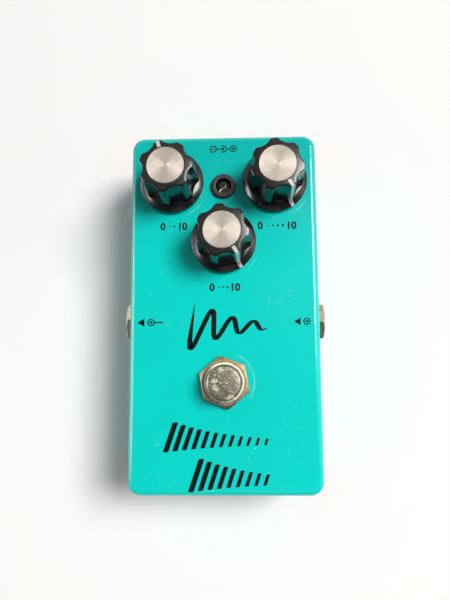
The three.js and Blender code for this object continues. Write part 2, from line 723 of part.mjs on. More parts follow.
/** The pot: bushing, can, wafer and legs, hung from the panel's inner face. */
function pot(name) {
  const face = -WALL - SEAT;
  const low = -WALL - POT_CAN_DEPTH;
  const round = POT_CAN_ROUND;
  const can = revolve([
    [0, low],
    [POT_CAN_RADIUS - round, low],
    [POT_CAN_RADIUS, low + round],
    [POT_CAN_RADIUS, face - round / 2],
    [POT_CAN_RADIUS - round / 2, face],
    [POT_BUSHING_RADIUS, face],
    [POT_BUSHING_RADIUS, POT_BUSHING_LENGTH - WALL],
    [0, POT_BUSHING_LENGTH - WALL],
  ], INNER_STEPS);
  const bore = bar(SHAFT_RADIUS + RUN, -WALL - SHAFT_TAIL - RUN, POT_BUSHING_LENGTH, INNER_STEPS);
  return piece(`${name}_pot`, can.add(potWafer()).subtract(bore), DARK_STEEL);
}

/** The washer under the pot's nut. */
function potWasher(name) {
  const solid = tube(POT_WASHER_RADIUS, POT_BUSHING_RADIUS + FIT, 0, POT_WASHER_THICKNESS, INNER_STEPS);
  return piece(`${name}_pot_washer`, solid, NICKEL);
}

/** The nut that clamps the pot to the panel. */
function potNut(name) {
  const low = POT_WASHER_THICKNESS;
  const solid = plainNut(POT_NUT_FLATS, POT_BUSHING_RADIUS + FIT, low, low + POT_NUT_HEIGHT);
  return piece(`${name}_pot_nut`, solid, NICKEL);
}

/** The part of a control that stays still. */
function fixedControl(name, { x, y }) {
  return groupAt([x, y, PANEL], [0, 0, 0], [pot(name), potWasher(name), potNut(name)]);
}

/** The outer radius of the bezel's tube. */
function bezelTubeRadius() {
  return LED_RADIUS + FIT + BEZEL_TUBE_WALL;
}

/** The bezel: a flanged tube whose lip narrows over the LED. Heights are above the panel. */
function ledBezel() {
  const outer = bezelTubeRadius();
  const inner = LED_RADIUS + FIT;
  const solid = revolve([
    [inner, -BEZEL_TUBE_LENGTH],
    [outer, -BEZEL_TUBE_LENGTH],
    [outer, 0],
    [BEZEL_RADIUS, 0],
    [BEZEL_RADIUS, BEZEL_HEIGHT - BEZEL_EDGE],
    [BEZEL_RADIUS - BEZEL_EDGE / 3, BEZEL_HEIGHT - BEZEL_EDGE / 3],
    [BEZEL_RADIUS - BEZEL_EDGE, BEZEL_HEIGHT],
    [BEZEL_APERTURE, BEZEL_HEIGHT],
    [BEZEL_APERTURE, BEZEL_HEIGHT - BEZEL_LIP],
    [inner, BEZEL_HEIGHT - BEZEL_LIP],
    [inner, -BEZEL_TUBE_LENGTH],
  ]);
  return piece("led_bezel", solid, BLACK_PLASTIC);
}

/** The top of the LED's dome above the panel. */
function ledTop() {
  return BEZEL_HEIGHT - LED_SINK;
}

/** The LED: a domed lens with a flange, and two leads down to the board. */
function led() {
  const top = ledTop();
  const low = top - LED_LENGTH;
  const points = [[0, low], [LED_FLANGE_RADIUS, low], [LED_FLANGE_RADIUS, low + LED_FLANGE_HEIGHT]];
  points.push([LED_RADIUS, low + LED_FLANGE_HEIGHT]);
  for (let step = 0; step <= DOME_STEPS; step++) {
    const angle = ((step / DOME_STEPS) * Math.PI) / 2;
    points.push([LED_RADIUS * Math.cos(angle), top - LED_RADIUS * (1 - Math.sin(angle))]);
  }
  points[points.length - 1][0] = 0;
  const lead = block(LED_LEAD, LED_LEAD, BOARD_TOP - PANEL + SEAT, low + LED_FLANGE_HEIGHT / 2);
  const leads = [-1, 1].map((side) => moved(lead, side * LED_LEAD_PITCH / 2, 0, 0));
  return piece("led", wasm.Manifold.union([revolve(points), ...leads]), CLEAR);
}

/** The collar pushed over the bezel's tube and the LED's flange. */
function ledCollar() {
  const inner = bezelTubeRadius() + FIT;
  const low = ledTop() - LED_LENGTH;
  const solid = tube(inner + COLLAR_WALL, inner, low, low + COLLAR_HEIGHT, INNER_STEPS);
  return piece("led_collar", solid, BLACK_PLASTIC);
}

/** The LED with its bezel and collar. */
function ledGroup() {
  return groupAt([0, LED_Y, PANEL], [0, 0, 0], [ledBezel(), led(), ledCollar()]);
}

/** The height of the footswitch bracket's top face, from the panel. */
function bracketTop() {
  return BUSHING_ABOVE - BUSHING_LENGTH;
}

/** The height of the floor of the footswitch bushing's bore. */
function switchFloor() {
  return bracketTop() - SWITCH_FLOOR_DEPTH;
}

/** The underside of the button's wide part, which leaves room for the spring and the travel. */
function buttonShoulder() {
  return switchFloor() + BUTTON_SHOULDER;
}

/** The footswitch: bushing, bracket, moulded body and nine lugs. Heights are from the panel. */
function footswitchBody() {
  const top = bracketTop();
  const bodyTop = top - BRACKET_THICKNESS;
  const bodyLow = bodyTop - SWITCH_BODY_HEIGHT;
  const half = SWITCH_BODY / 2;
  const bushing = bar(BUSHING_RADIUS, top - BRACKET_THICKNESS / 2, BUSHING_ABOVE);
  const bracket = block(SWITCH_BODY, SWITCH_BODY, bodyTop, top);
  const body = loft([
    roundedRing(half - SEAT, half - SEAT, SWITCH_BODY_ROUND, bodyLow),
    roundedRing(half - SEAT, half - SEAT, SWITCH_BODY_ROUND, bodyTop),
  ]);
  const lugs = [];
  for (const column of [-1, 0, 1]) {
    for (const row of [-1, 0, 1]) {
      const lug = block(LUG_WIDTH, LUG_THICKNESS, bodyLow - LUG_LENGTH, bodyLow + LUG_THICKNESS);
      lugs.push(moved(lug, column * LUG_PITCH, row * LUG_PITCH, 0));
    }
  }
  const bore = bar(BUSHING_BORE, switchFloor(), BUSHING_ABOVE + OVERRUN);
  const stemLow = switchFloor() - BUTTON_STEM_REACH - BUTTON_TRAVEL - RUN;
  const stemBore = bar(BUTTON_STEM_RADIUS + RUN, stemLow, switchFloor() + OVERRUN, INNER_STEPS);
  const solid = wasm.Manifold.union([bushing, bracket, body, ...lugs]);
  return piece("footswitch_body", solid.subtract(bore.add(stemBore)), BLUE_PLASTIC);
}

/** The push button with its rounded crown, and the stem that works the contacts. */
function footswitchButton() {
  const top = BUTTON_ABOVE;
  const edge = BUTTON_EDGE;
  const tip = switchFloor() - BUTTON_STEM_REACH;
  const points = [[0, tip], [BUTTON_STEM_RADIUS, tip]];
  points.push([BUTTON_STEM_RADIUS, buttonShoulder()]);
  points.push([BUTTON_RADIUS, buttonShoulder()]);
  for (let step = 0; step <= EDGE_STEPS; step++) {
    const angle = ((step / EDGE_STEPS) * Math.PI) / 2;
    points.push([BUTTON_RADIUS - edge * (1 - Math.cos(angle)), top - edge * (1 - Math.sin(angle))]);
  }
  points.push([0, top]);
  return piece("footswitch_button", revolve(points), WORN_CHROME);
}

/** The nut on top of the panel, and the one below that sets the switch's height. */
function footswitchNuts() {
  const bore = BUSHING_RADIUS + FIT;
  const upper = hexNut(SWITCH_NUT_FLATS, bore, 0, SWITCH_NUT_HEIGHT).rotate([0, 0, SWITCH_NUT_TURN_DEG]);
  const lowTop = -WALL - LOCK_WASHER_THICKNESS - SEAT;
  const lower = plainNut(SWITCH_NUT_FLATS, bore, lowTop - LOWER_NUT_HEIGHT, lowTop);
  return [piece("footswitch_nut", upper, WORN_CHROME), piece("footswitch_lower_nut", lower, NICKEL)];
}

/** The lock washer between the lower nut and the panel. */
function footswitchWasher() {
  const high = -WALL - SEAT;
  const low = high - LOCK_WASHER_THICKNESS;
  const solid = tube(LOCK_WASHER_RADIUS, BUSHING_RADIUS + FIT, low, high, INNER_STEPS);
  return piece("footswitch_lock_washer", solid, NICKEL);
}

/** The return spring: a helix of round wire between the bore's floor and the button's shoulder. */
function footswitchSpring() {
  const low = switchFloor() + SPRING_WIRE_RADIUS + SEAT;
  const high = buttonShoulder() - SPRING_WIRE_RADIUS - SEAT;
  const steps = SPRING_TURNS * SPRING_TURN_STEPS;
  const points = [];
  for (let step = 0; step <= steps; step++) {
    const angle = (2 * Math.PI * step) / SPRING_TURN_STEPS;
    const z = THREE.MathUtils.lerp(low, high, step / steps);
    points.push(new THREE.Vector3(SPRING_RADIUS * Math.cos(angle), SPRING_RADIUS * Math.sin(angle), z));
  }
  const circle = new THREE.EllipseCurve(0, 0, SPRING_WIRE_RADIUS, SPRING_WIRE_RADIUS);
  const section = new THREE.Shape(circle.getPoints(SPRING_SIDES).slice(1));
  const path = new THREE.CatmullRomCurve3(points);
  const settings = { steps, extrudePath: path };
  return piece("footswitch_spring", solidOf(new THREE.ExtrudeGeometry(section, settings)), NICKEL);
}

/** The footswitch with its nuts, washer, spring and button. */
function footswitchGroup() {
  const children = [footswitchBody(), footswitchButton(), ...footswitchNuts()];
  children.push(footswitchWasher(), footswitchSpring());
  return groupAt([0, SWITCH_Y, PANEL], [0, 0, 0], children);
}

/** The height of a side jack's bushing end outside the wall. */
function jackFace() {
  return JACK_WASHER_THICKNESS + JACK_NUT_HEIGHT + SEAT;
}

/** A side jack: moulded body with a through bore, threaded bushing and three lugs. Local +Z points out. */
function jackBody(name) {
  const face = -WALL - SEAT;
  const end = jackFace() - JACK_SINK;
  const back = face - JACK_LENGTH;
  const body = loft([
    roundedRing(JACK_DEPTH / 2, JACK_WIDTH / 2, JACK_ROUND, back),
    roundedRing(JACK_DEPTH / 2, JACK_WIDTH / 2, JACK_ROUND, face),
  ]);
  const bushing = bar(JACK_BUSHING_RADIUS, face - OVERRUN, end);
  const bore = bar(JACK_BORE, back - OVERRUN, end + OVERRUN);
  const mouth = revolve([
    [0, end - JACK_MOUTH],
    [JACK_BORE, end - JACK_MOUTH],
    [JACK_BORE + JACK_MOUTH + OVERRUN, end + OVERRUN],
    [0, end + OVERRUN],
  ]);
  const lugs = [-1, 0, 1].map((side) => {
    const lug = block(LUG_THICKNESS, LUG_WIDTH, back - JACK_LUG_LENGTH, back + LUG_THICKNESS);
    const inset = JACK_DEPTH / 2 - LUG_THICKNESS * 2;
    return moved(lug, side ? -inset : inset, side * LUG_PITCH, 0);
  });
  const solid = wasm.Manifold.union([body, bushing, ...lugs]);
  return piece(`${name}_jack`, solid.subtract(bore.add(mouth)), BLACK_PLASTIC);
}

/** A side jack's washer and hex nut, outside the wall. */
function jackHardware(name, turn) {
  const bore = JACK_BUSHING_RADIUS + FIT;
  const top = SEAT + JACK_WASHER_THICKNESS;
  const washer = tube(JACK_WASHER_RADIUS, bore, SEAT, top, INNER_STEPS);
  const nut = hexNut(JACK_NUT_FLATS, bore, top, top + JACK_NUT_HEIGHT).rotate([0, 0, turn]);
  return [piece(`${name}_jack_washer`, washer, NICKEL), piece(`${name}_jack_nut`, nut, NICKEL)];
}

/** One side jack with its hardware. */
function sideJack(name, turn) {
  return groupAt(...wallFrames()[name], [jackBody(name), ...jackHardware(name, turn)]);
}

/** The power jack: a flanged barrel with a blind socket. Local +Z points out of the back wall. */
function powerJackBody() {
  const edge = POWER_FLANGE_EDGE;
  const high = POWER_FLANGE_THICKNESS;
  const back = high - POWER_BARREL_LENGTH - WALL;
  const form = revolve([
    [0, back],
    [POWER_BARREL_RADIUS, back],
    [POWER_BARREL_RADIUS, SEAT],
    [POWER_FLANGE_RADIUS, SEAT],
    [POWER_FLANGE_RADIUS, high - edge],
    [POWER_FLANGE_RADIUS - edge, high],
    [0, high],
  ]);
  const socket = bar(POWER_BORE, high - POWER_BORE_DEPTH, high + OVERRUN);
  const root = bar(POWER_PIN_RADIUS + FIT, high - POWER_BORE_DEPTH - POWER_PIN_ROOT, high);
  const lug = block(LUG_WIDTH, LUG_THICKNESS, back - LUG_LENGTH, back + LUG_THICKNESS);
  const lugs = [-1, 1].map((side) => moved(lug, side * POWER_LUG_SPREAD / 2, 0, 0));
  const solid = wasm.Manifold.union([form, ...lugs]);
  return piece("power_jack", solid.subtract(socket.add(root)), BLACK_PLASTIC);
}

/** The power jack's contact pin, rooted in the floor of the socket. */
function powerJackPin() {
  const floor = POWER_FLANGE_THICKNESS - POWER_BORE_DEPTH;
  const tip = floor + POWER_PIN_LENGTH;
  const solid = revolve([
    [0, floor - POWER_PIN_ROOT + SEAT],
    [POWER_PIN_RADIUS, floor - POWER_PIN_ROOT + SEAT],
    [POWER_PIN_RADIUS, tip - POWER_PIN_RADIUS / 2],
    [POWER_PIN_RADIUS / 2, tip],
    [0, tip],
  ], TINY_STEPS);
  return piece("power_jack_pin", solid, NICKEL);
}

/** The nut that holds the power jack, inside the wall. */
function powerJackNut() {
  const high = -WALL - SEAT;
  const solid = plainNut(POWER_NUT_FLATS, POWER_BARREL_RADIUS + FIT, high - POWER_NUT_HEIGHT, high);
  return piece("power_jack_nut", solid, BLACK_PLASTIC);
}

/** The power jack with its pin and nut. */
function powerJack() {
  return groupAt(...wallFrames().power, [powerJackBody(), powerJackPin(), powerJackNut()]);
}

/** The near and far edges of the circuit board: clear of the side jacks and of the corner posts. */
function boardEdges() {
  const near = JACK_Y + JACK_WIDTH / 2 + BOARD_JACK_GAP;
  const far = CASE_LENGTH / 2 - POST_INSET - POST_RADIUS - BOARD_POST_GAP;
  return [near, far];
}

/** The circuit board under the pots, notched round the power jack. */
function circuitBoard() {
  const [near, far] = boardEdges();
  const half = BOARD_WIDTH / 2;
  const notchX = POWER_BARREL_RADIUS + BOARD_NOTCH_GAP;
  const jackEnd = wallFrames().power[0][1] - WALL - POWER_BARREL_LENGTH + POWER_FLANGE_THICKNESS;
  const notchY = jackEnd - BOARD_NOTCH_GAP;
  const outline = [[-half, near], [half, near], [half, far], [notchX, far], [notchX, notchY]];
  outline.push([-notchX, notchY], [-notchX, far], [-half, far]);
  const shape = new THREE.Shape(outline.map(([x, y]) => new THREE.Vector2(x, y)));
  return piece("circuit_board", extrude(shape, BOARD_BOTTOM, BOARD_TOP), BOARD_GREEN);
}

/** One bent chip pin on the +Y side: out of the body at a height, then up to the board. */
function chipPin(height) {
  const outer = (CHIP_ROW_GAP + CHIP_PIN_THICKNESS) / 2;
  const inner = outer - CHIP_PIN_THICKNESS;
  const root = CHIP_WIDTH / 2 - CHIP_SLOPE;
  const up = BOARD_BOTTOM - SEAT;
  const knee = height + CHIP_PIN_THICKNESS;
  const outline = [[root, height], [outer, height], [outer, up], [inner, up], [inner, knee], [root, knee]];
  const shape = new THREE.Shape(outline.map(([y, z]) => new THREE.Vector2(y, z)));
  return extrude(shape, -CHIP_PIN_WIDTH / 2, CHIP_PIN_WIDTH / 2).rotate([90, 0, 90]);
}

/** A chip under the board, with its pins in two rows along X. */
function chip(name, pinsPerRow, x, y) {
  const high = BOARD_BOTTOM - CHIP_STANDOFF;
  const low = high - CHIP_HEIGHT;
  const middle = (high + low) / 2;
  const length = pinsPerRow * CHIP_PIN_PITCH;
  const half = CHIP_WIDTH / 2;
  const rect = (inset, z) => [[-1, -1], [1, -1], [1, 1], [-1, 1]].map(([sx, sy]) =>
    new THREE.Vector3(sx * (length / 2 - inset), sy * (half - inset), z));
  const body = loft([rect(CHIP_SLOPE, low), rect(0, middle), rect(CHIP_SLOPE, high)]);
  const dent = bar(CHIP_NOTCH_RADIUS, low - OVERRUN, low + CHIP_NOTCH_DEPTH, TINY_STEPS);
  const notch = moved(dent, -length / 2, 0, 0);
  const pins = [];
  for (let pin = 0; pin < pinsPerRow; pin++) {
    const along = (pin - (pinsPerRow - 1) / 2) * CHIP_PIN_PITCH;
    for (const turn of [0, 180]) {
      pins.push(moved(chipPin(middle).rotate([0, 0, turn]), along, 0, 0));
    }
  }
  const solid = wasm.Manifold.union([body.subtract(notch), ...pins]);
  return piece(name, moved(solid, x, y, 0), CHIP_BLACK);
}

/** A round capacitor standing under the board, with its crimp groove. */
function capacitor(name, x, y) {
  const high = BOARD_BOTTOM - SEAT;
  const low = high - CAPACITOR_HEIGHT;
  const edge = CAPACITOR_EDGE;
  const crimp = high - CAPACITOR_RADIUS / 2;
  const solid = revolve([
    [0, low],
    [CAPACITOR_RADIUS - edge, low],
    [CAPACITOR_RADIUS, low + edge],
    [CAPACITOR_RADIUS, crimp - edge],
    [CAPACITOR_RADIUS - CAPACITOR_GROOVE, crimp],
    [CAPACITOR_RADIUS, crimp + edge],
    [CAPACITOR_RADIUS, high],
    [0, high],
  ], TINY_STEPS);
  return piece(name, moved(solid, x, y, 0), SLEEVE_BLUE);
}

/** The board and everything soldered under it, set out from the board's edges. */
function electronics() {
  const [near, far] = boardEdges();
  const third = BOARD_WIDTH / 3;
  const row = (share) => THREE.MathUtils.lerp(near, far, share);
  return [
    circuitBoard(),
    chip("delay_chip_1", SMALL_CHIP_PINS, -third, row(SMALL_CHIP_ROW_SHARE)),
    chip("delay_chip_2", SMALL_CHIP_PINS, third, row(SMALL_CHIP_ROW_SHARE)),
    chip("compander_chip", LARGE_CHIP_PINS, 0, row(LARGE_CHIP_ROW_SHARE)),
    capacitor("filter_capacitor_1", -third, row(CAPACITOR_ROW_SHARE)),
    capacitor("filter_capacitor_2", third, row(CAPACITOR_ROW_SHARE)),
  ];
}

/** The base: plate, screws and feet. */
function base() {
  const places = Object.entries(postPlaces());
  const screws = places.map(([corner, place]) => baseScrew(`base_screw_${corner}`, place));
  const feet = places.map(([corner, [x, y]]) =>
    foot(`foot_${corner}`, Math.sign(x) * FOOT_X, Math.sign(y) * FOOT_Y));
  return [basePlate(), ...screws, ...feet];
}

/** The whole pedal, shifted so that the power jack's flange and the front wall are equally far out. */
function pedal() {
  const part = new THREE.Group();
  part.name = "delay_pedal";
  part.add(enclosure(), ...base(), ledGroup(), footswitchGroup());
  for (const [name, place] of Object.entries(controls())) {
    part.add(fixedControl(name, place), turningControl(name, place));
  }
  part.add(sideJack("output", OUTPUT_NUT_TURN_DEG), sideJack("input", INPUT_NUT_TURN_DEG));
  part.add(powerJack());
  part.add(...electronics());
  part.updateMatrixWorld(true);
  const box = new THREE.Box3().setFromObject(part);
  part.position.y = -(box.min.y + box.max.y) / 2;
  return part;
}

export default pedal();
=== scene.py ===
"""The looks of a small die-cast delay pedal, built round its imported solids.

Sizes are in millimetres and places are in the part's frame: +Z is up out of the panel, +Y points to the
end with the power jack, and the origin is on the surface that the rubber feet stand on.
"""

import logging
import math
from dataclasses import dataclass
from enum import Enum
from typing import Any, Callable, Iterable, Sequence, Union

import bmesh
import bpy
from mathutils import Matrix, Vector


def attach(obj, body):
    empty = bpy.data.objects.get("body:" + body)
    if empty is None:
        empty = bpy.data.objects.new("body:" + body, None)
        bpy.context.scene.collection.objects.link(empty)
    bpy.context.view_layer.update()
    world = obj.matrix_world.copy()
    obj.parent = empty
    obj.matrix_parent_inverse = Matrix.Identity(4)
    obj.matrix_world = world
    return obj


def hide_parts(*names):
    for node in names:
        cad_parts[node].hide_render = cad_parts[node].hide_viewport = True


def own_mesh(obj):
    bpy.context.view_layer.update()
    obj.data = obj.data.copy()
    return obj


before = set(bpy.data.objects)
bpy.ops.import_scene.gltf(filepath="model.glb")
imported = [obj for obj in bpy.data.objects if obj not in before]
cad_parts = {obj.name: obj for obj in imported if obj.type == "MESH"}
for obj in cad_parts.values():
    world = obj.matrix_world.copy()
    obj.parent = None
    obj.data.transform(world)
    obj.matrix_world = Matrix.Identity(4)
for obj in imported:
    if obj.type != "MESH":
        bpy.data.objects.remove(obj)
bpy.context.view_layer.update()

LOG = logging.getLogger("pedal")
METRES = 0.001
TURN = 2 * math.pi
TOUCHING = 1e-5
NEARLY_LEVEL = 1e-3
Colour = tuple[float, float, float]
Pair = tuple[float, float]
Triple = tuple[float, float, float]
Profile = Sequence[Pair]


class Body(Enum):
    """The moving bodies that a piece can ride on."""

    PEDAL = "pedal"
    TIME = "time_control"
    REPEAT = "repeat_control"
    LEVEL = "level_control"
    PLUNGER = "footswitch_plunger"


# Node maths ---------------------------------------------------------------------------------------------


class Signal:
    """A socket of a material's node tree. Sums written with it add the Math nodes that work them out."""

    def __init__(self, recipe: "Recipe", socket: bpy.types.NodeSocket) -> None:
        """Wraps a socket.

        Args:
            recipe: The recipe whose tree holds the socket.
            socket: The output socket that carries the value.
        """
        self.recipe = recipe
        self.socket = socket

    def maths(self, operation: str, *values: "Number") -> "Signal":
        """Works out one Math node.

        Args:
            operation: The Math node's operation.
            values: The node's inputs in order.

        Returns:
            The node's value.
        """
        return self.recipe.node("ShaderNodeMath", {"operation": operation}, dict(enumerate(values)))

    def __add__(self, other: "Number") -> "Signal":
        """The sum of two values."""
        return self.maths("ADD", self, other)

    def __sub__(self, other: "Number") -> "Signal":
        """This value less another."""
        return self.maths("SUBTRACT", self, other)

    def __rsub__(self, other: "Number") -> "Signal":
        """Another value less this one."""
        return self.maths("SUBTRACT", other, self)

    def __mul__(self, other: "Number") -> "Signal":
        """The product of two values."""
        return self.maths("MULTIPLY", self, other)

    def __truediv__(self, other: "Number") -> "Signal":
        """This value over another."""
        return self.maths("DIVIDE", self, other)

    def __pow__(self, other: "Number") -> "Signal":
        """This value to a power."""
        return self.maths("POWER", self, other)

    def __abs__(self) -> "Signal":
        """This value without its sign."""
        return self.maths("ABSOLUTE", self)

    __radd__ = __add__
    __rmul__ = __mul__

    def at_most(self, most: float) -> "Signal":
        """This value, held to a largest one."""
        return self.maths("MINIMUM", self, most)

    def between(self, low: float, high: float) -> "Signal":
        """A soft step.

        Args:
            low: Where the step starts from 0.
            high: Where the step reaches 1.

        Returns:
            0 below low, 1 above high and a smooth rise between them, or the reverse if high is the lower.
        """
        settings = {"interpolation_type": "SMOOTHSTEP", "clamp": True}
        inputs = {"Value": self, "From Min": min(low, high), "From Max": max(low, high)}
        inputs.update({"To Min": float(low > high), "To Max": float(low <= high)})
        return self.recipe.node("ShaderNodeMapRange", settings, inputs)


Number = Union[Signal, float]
Tint = Union[Signal, Colour]


class Recipe:
    """The node tree of a material or of the room, under construction."""

    def __init__(self, owner: Union[bpy.types.Material, bpy.types.World], places: str = "Object") -> None:
        """Empties the owner's tree.

        Args:
            owner: The material or world.
            places: The coordinates that its patterns use.
        """
        self.owner = owner
        owner.use_nodes = True
        self.tree = owner.node_tree
        self.tree.nodes.clear()
        self.places = self.node("ShaderNodeTexCoord", output=places)

    def node(self, kind: str, settings: dict[str, Any] | None = None,
             inputs: dict[str | int, Any] | None = None, output: str | int = 0) -> Signal:
        """Adds one node.

        Args:
            kind: The node's type.
            settings: The node's own settings.
            inputs: A value or a signal for each socket that isn't left as it is.
            output: The output that is wanted.

        Returns:
            The signal of that output.
        """
        made = self.tree.nodes.new(kind)
        for name, value in (settings or {}).items():
            setattr(made, name, value)
        for key, value in (inputs or {}).items():
            self.feed(made.inputs[key], value)
        return Signal(self, made.outputs[output])

    def feed(self, socket: bpy.types.NodeSocket, value: Any) -> None:
        """Links or sets an input.

        Args:
            socket: The input socket.
            value: A signal to link, or a value to set, where a colour may leave out its alpha.
        """
        if isinstance(value, Signal):
            self.tree.links.new(value.socket, socket)
        elif socket.type == "RGBA" and len(value) == 3:
            socket.default_value = (*value, 1)
        else:
            socket.default_value = value

    def mix(self, factor: Number, first: Tint, second: Tint) -> Signal:
        """Mixes two colours.

        Args:
            factor: 0 for the first colour and 1 for the second.
            first: The first colour.
            second: The second colour.

        Returns:
            The mixed colour.
        """
        settings = {"data_type": "RGBA", "blend_type": "MIX"}
        return self.node("ShaderNodeMix", settings, {0: factor, 6: first, 7: second}, 2)

    def placed(self, centre: Sequence[float] = (0, 0, 0), stretch: Sequence[float] = (1, 1, 1),
               turn_deg: float = 0) -> Signal:
        """Moves the pattern's coordinates, in millimetres.

        Args:
            centre: The place that becomes the pattern's origin.
            stretch: How much finer the pattern is along each axis.
            turn_deg: The pattern's turn about +Z.

        Returns:
            The moved coordinates.
        """
        inputs = {"Vector": self.places, "Location": [value * METRES for value in centre],
                  "Rotation": (0, 0, math.radians(turn_deg)), "Scale": [METRES / value for value in stretch]}
        return self.node("ShaderNodeMapping", {"vector_type": "TEXTURE"}, inputs)

    def axis(self, name: str, places: Signal | None = None) -> Signal:
        """One coordinate, in millimetres where no others are given.

        Args:
            name: X, Y or Z.
            places: The coordinates, or None for the piece's own.

        Returns:
            That coordinate.
        """
        return self.node("ShaderNodeSeparateXYZ", None, {0: places or self.placed()}, name)

    def noise(self, size: float, detail: float = 3, places: Signal | None = None) -> Signal:
        """Cloudy noise from 0 to 1.

        Args:
            size: The size of its blotches in millimetres.
            detail: How many finer layers it has.
            places: The coordinates, or None for the piece's own.

        Returns:
            The noise.
        """
        inputs = {"Vector": places or self.placed(), "Scale": 1 / size, "Detail": detail}
        return self.node("ShaderNodeTexNoise", None, inputs, "Fac")

    def flecks(self, cell: float, edge: Pair, patch: float, gate: Pair) -> Signal:
        """Small scattered flecks that show in some patches only.

        Args:
            cell: The size in millimetres of a cell, which holds one fleck in its middle.
            edge: The distance from the middle where a fleck starts, and where it is whole.
            patch: The size of the patches in millimetres.
            gate: The noise where a patch starts, and where it is whole.

        Returns:
            1 on a fleck and 0 off it.
        """
        inputs = {"Vector": self.placed(), "Scale": 1 / cell}
        away = self.node("ShaderNodeTexVoronoi", {"feature": "F1"}, inputs, "Distance")
        return away.between(*edge) * self.noise(patch, 2).between(*gate)

    def strokes(self, along: float, across: float, turn_deg: float) -> Signal:
        """Noise that is drawn out into long thin strokes.

        Args:
            along: How much finer it is along the strokes, below 1 for long ones.
            across: How much finer it is across them.
            turn_deg: The strokes' turn about +Z, from +X.

        Returns:
            The noise, from 0 to 1.
        """
        return self.noise(1, 2, self.placed(stretch=(along, across, 1), turn_deg=turn_deg))

    def plan(self, centre: Pair = (0, 0)) -> tuple[Signal, Signal]:
        """The X and Y of each point from an upright axis, in millimetres."""
        places = self.placed((*centre, 0))
        return self.axis("X", places), self.axis("Y", places)

    def distance(self, centre: Pair) -> Signal:
        """The distance in millimetres from an upright axis."""
        x, y = self.plan(centre)
        return (x ** 2 + y ** 2) ** 0.5

    def up(self) -> Signal:
        """How far the surface faces up, from -1 to 1."""
        normal = self.node("ShaderNodeNewGeometry", output="Normal")
        return self.node("ShaderNodeSeparateXYZ", None, {0: normal}, "Z")

    def bump(self, height: Number, depth: float) -> Signal:
        """The surface normal of a height, with the real depth in millimetres of a height of 1."""
        return self.node("ShaderNodeBump", None, {"Distance": depth * METRES, "Height": height}, "Normal")

    def surface(self, **inputs: Any) -> bpy.types.Material:
        """Finishes the material with one Principled surface.

        Args:
            inputs: The surface's inputs, with spaces in their names written as underscores.

        Returns:
            The finished material.
        """
        named = {key.replace("_", " "): value for key, value in inputs.items()}
        return self.close(self.node("ShaderNodeBsdfPrincipled", None, named, "BSDF"))

    def close(self, shader: Signal, output: str = "ShaderNodeOutputMaterial") -> Any:
        """Links a shader to the tree's output.

        Args:
            shader: The shader.
            output: The output node's type.

        Returns:
            The finished material or world.
        """
        self.feed(self.tree.nodes.new(output).inputs["Surface"], shader)
        return self.owner


# Finishes -----------------------------------------------------------------------------------------------


@dataclass(frozen=True)
class Finish:
    """A finish with its name, the record's slot that it stands for, which is not used, and its colour."""

    name: str
    slot: str | None
    colour: Colour
    rough: float = 0.4

    def material(self) -> bpy.types.Material:
        """The finish's material, made once."""
        name = f"{self.name}_finish"
        return bpy.data.materials.get(name) or self.shade(Recipe(bpy.data.materials.new(name)))

    def shade(self, recipe: Recipe) -> bpy.types.Material:
        """Writes the finish into a recipe.

        Args:
            recipe: The empty recipe.

        Returns:
            The finished material.
        """
        cloud = recipe.noise(3, 4)
        grain = recipe.noise(0.25, 2)
        tone = recipe.mix(cloud.between(0.3, 0.75), self.colour, [part * 0.82 for part in self.colour])
        rough = self.rough + (cloud - 0.5) * 0.12
        return recipe.surface(Base_Color=tone, Roughness=rough, Normal=recipe.bump(grain, 0.006))


@dataclass(frozen=True)
class Scuff:
    """A pale arc rubbed into the paint round something that turns or was tightened."""

    centre: Pair
    radius: float
    width: float
    middle_deg: float
    half_deg: float
    strength: float = 0.5

    def mask(self, recipe: Recipe) -> Signal:
        """Where the arc shows.

        Args:
            recipe: The paint's recipe.

        Returns:
            0 off the arc, and up to the scuff's strength on it.
        """
        x, y = recipe.plan(self.centre)
        out = (x ** 2 + y ** 2) ** 0.5
        turn = math.radians(self.middle_deg)
        ahead = (x * math.cos(turn) + y * math.sin(turn)) / out
        edge = math.cos(math.radians(self.half_deg))
        band = abs(out - self.radius).between(self.width, self.width * 0.25)
        worn = recipe.noise(0.7, 3).between(0.3, 0.6)
        return band * ahead.between(edge, edge + 0.12) * worn * self.strength


@dataclass(frozen=True)
class Rub:
    """A patch of paint that is rubbed, with pale grit and short scratches."""

    centre: Pair
    radius: float
    turn_deg: float = 60
    strength: float = 0.6

    def mask(self, recipe: Recipe) -> Signal:
        """Where the patch shows.

        Args:
            recipe: The paint's recipe.

        Returns:
            0 off the patch, and up to its strength on it.
        """
        fade = recipe.distance(self.centre).between(self.radius, self.radius * 0.2)
        grit = recipe.flecks(0.85, (0.2, 0.09), 1.6, (0.48, 0.58))
        strokes = recipe.strokes(0.3, 3.6, self.turn_deg).between(0.66, 0.74)
        strokes = strokes * recipe.noise(2.2, 2).between(0.48, 0.6)
        return fade * (grit + strokes * 0.7) * self.strength


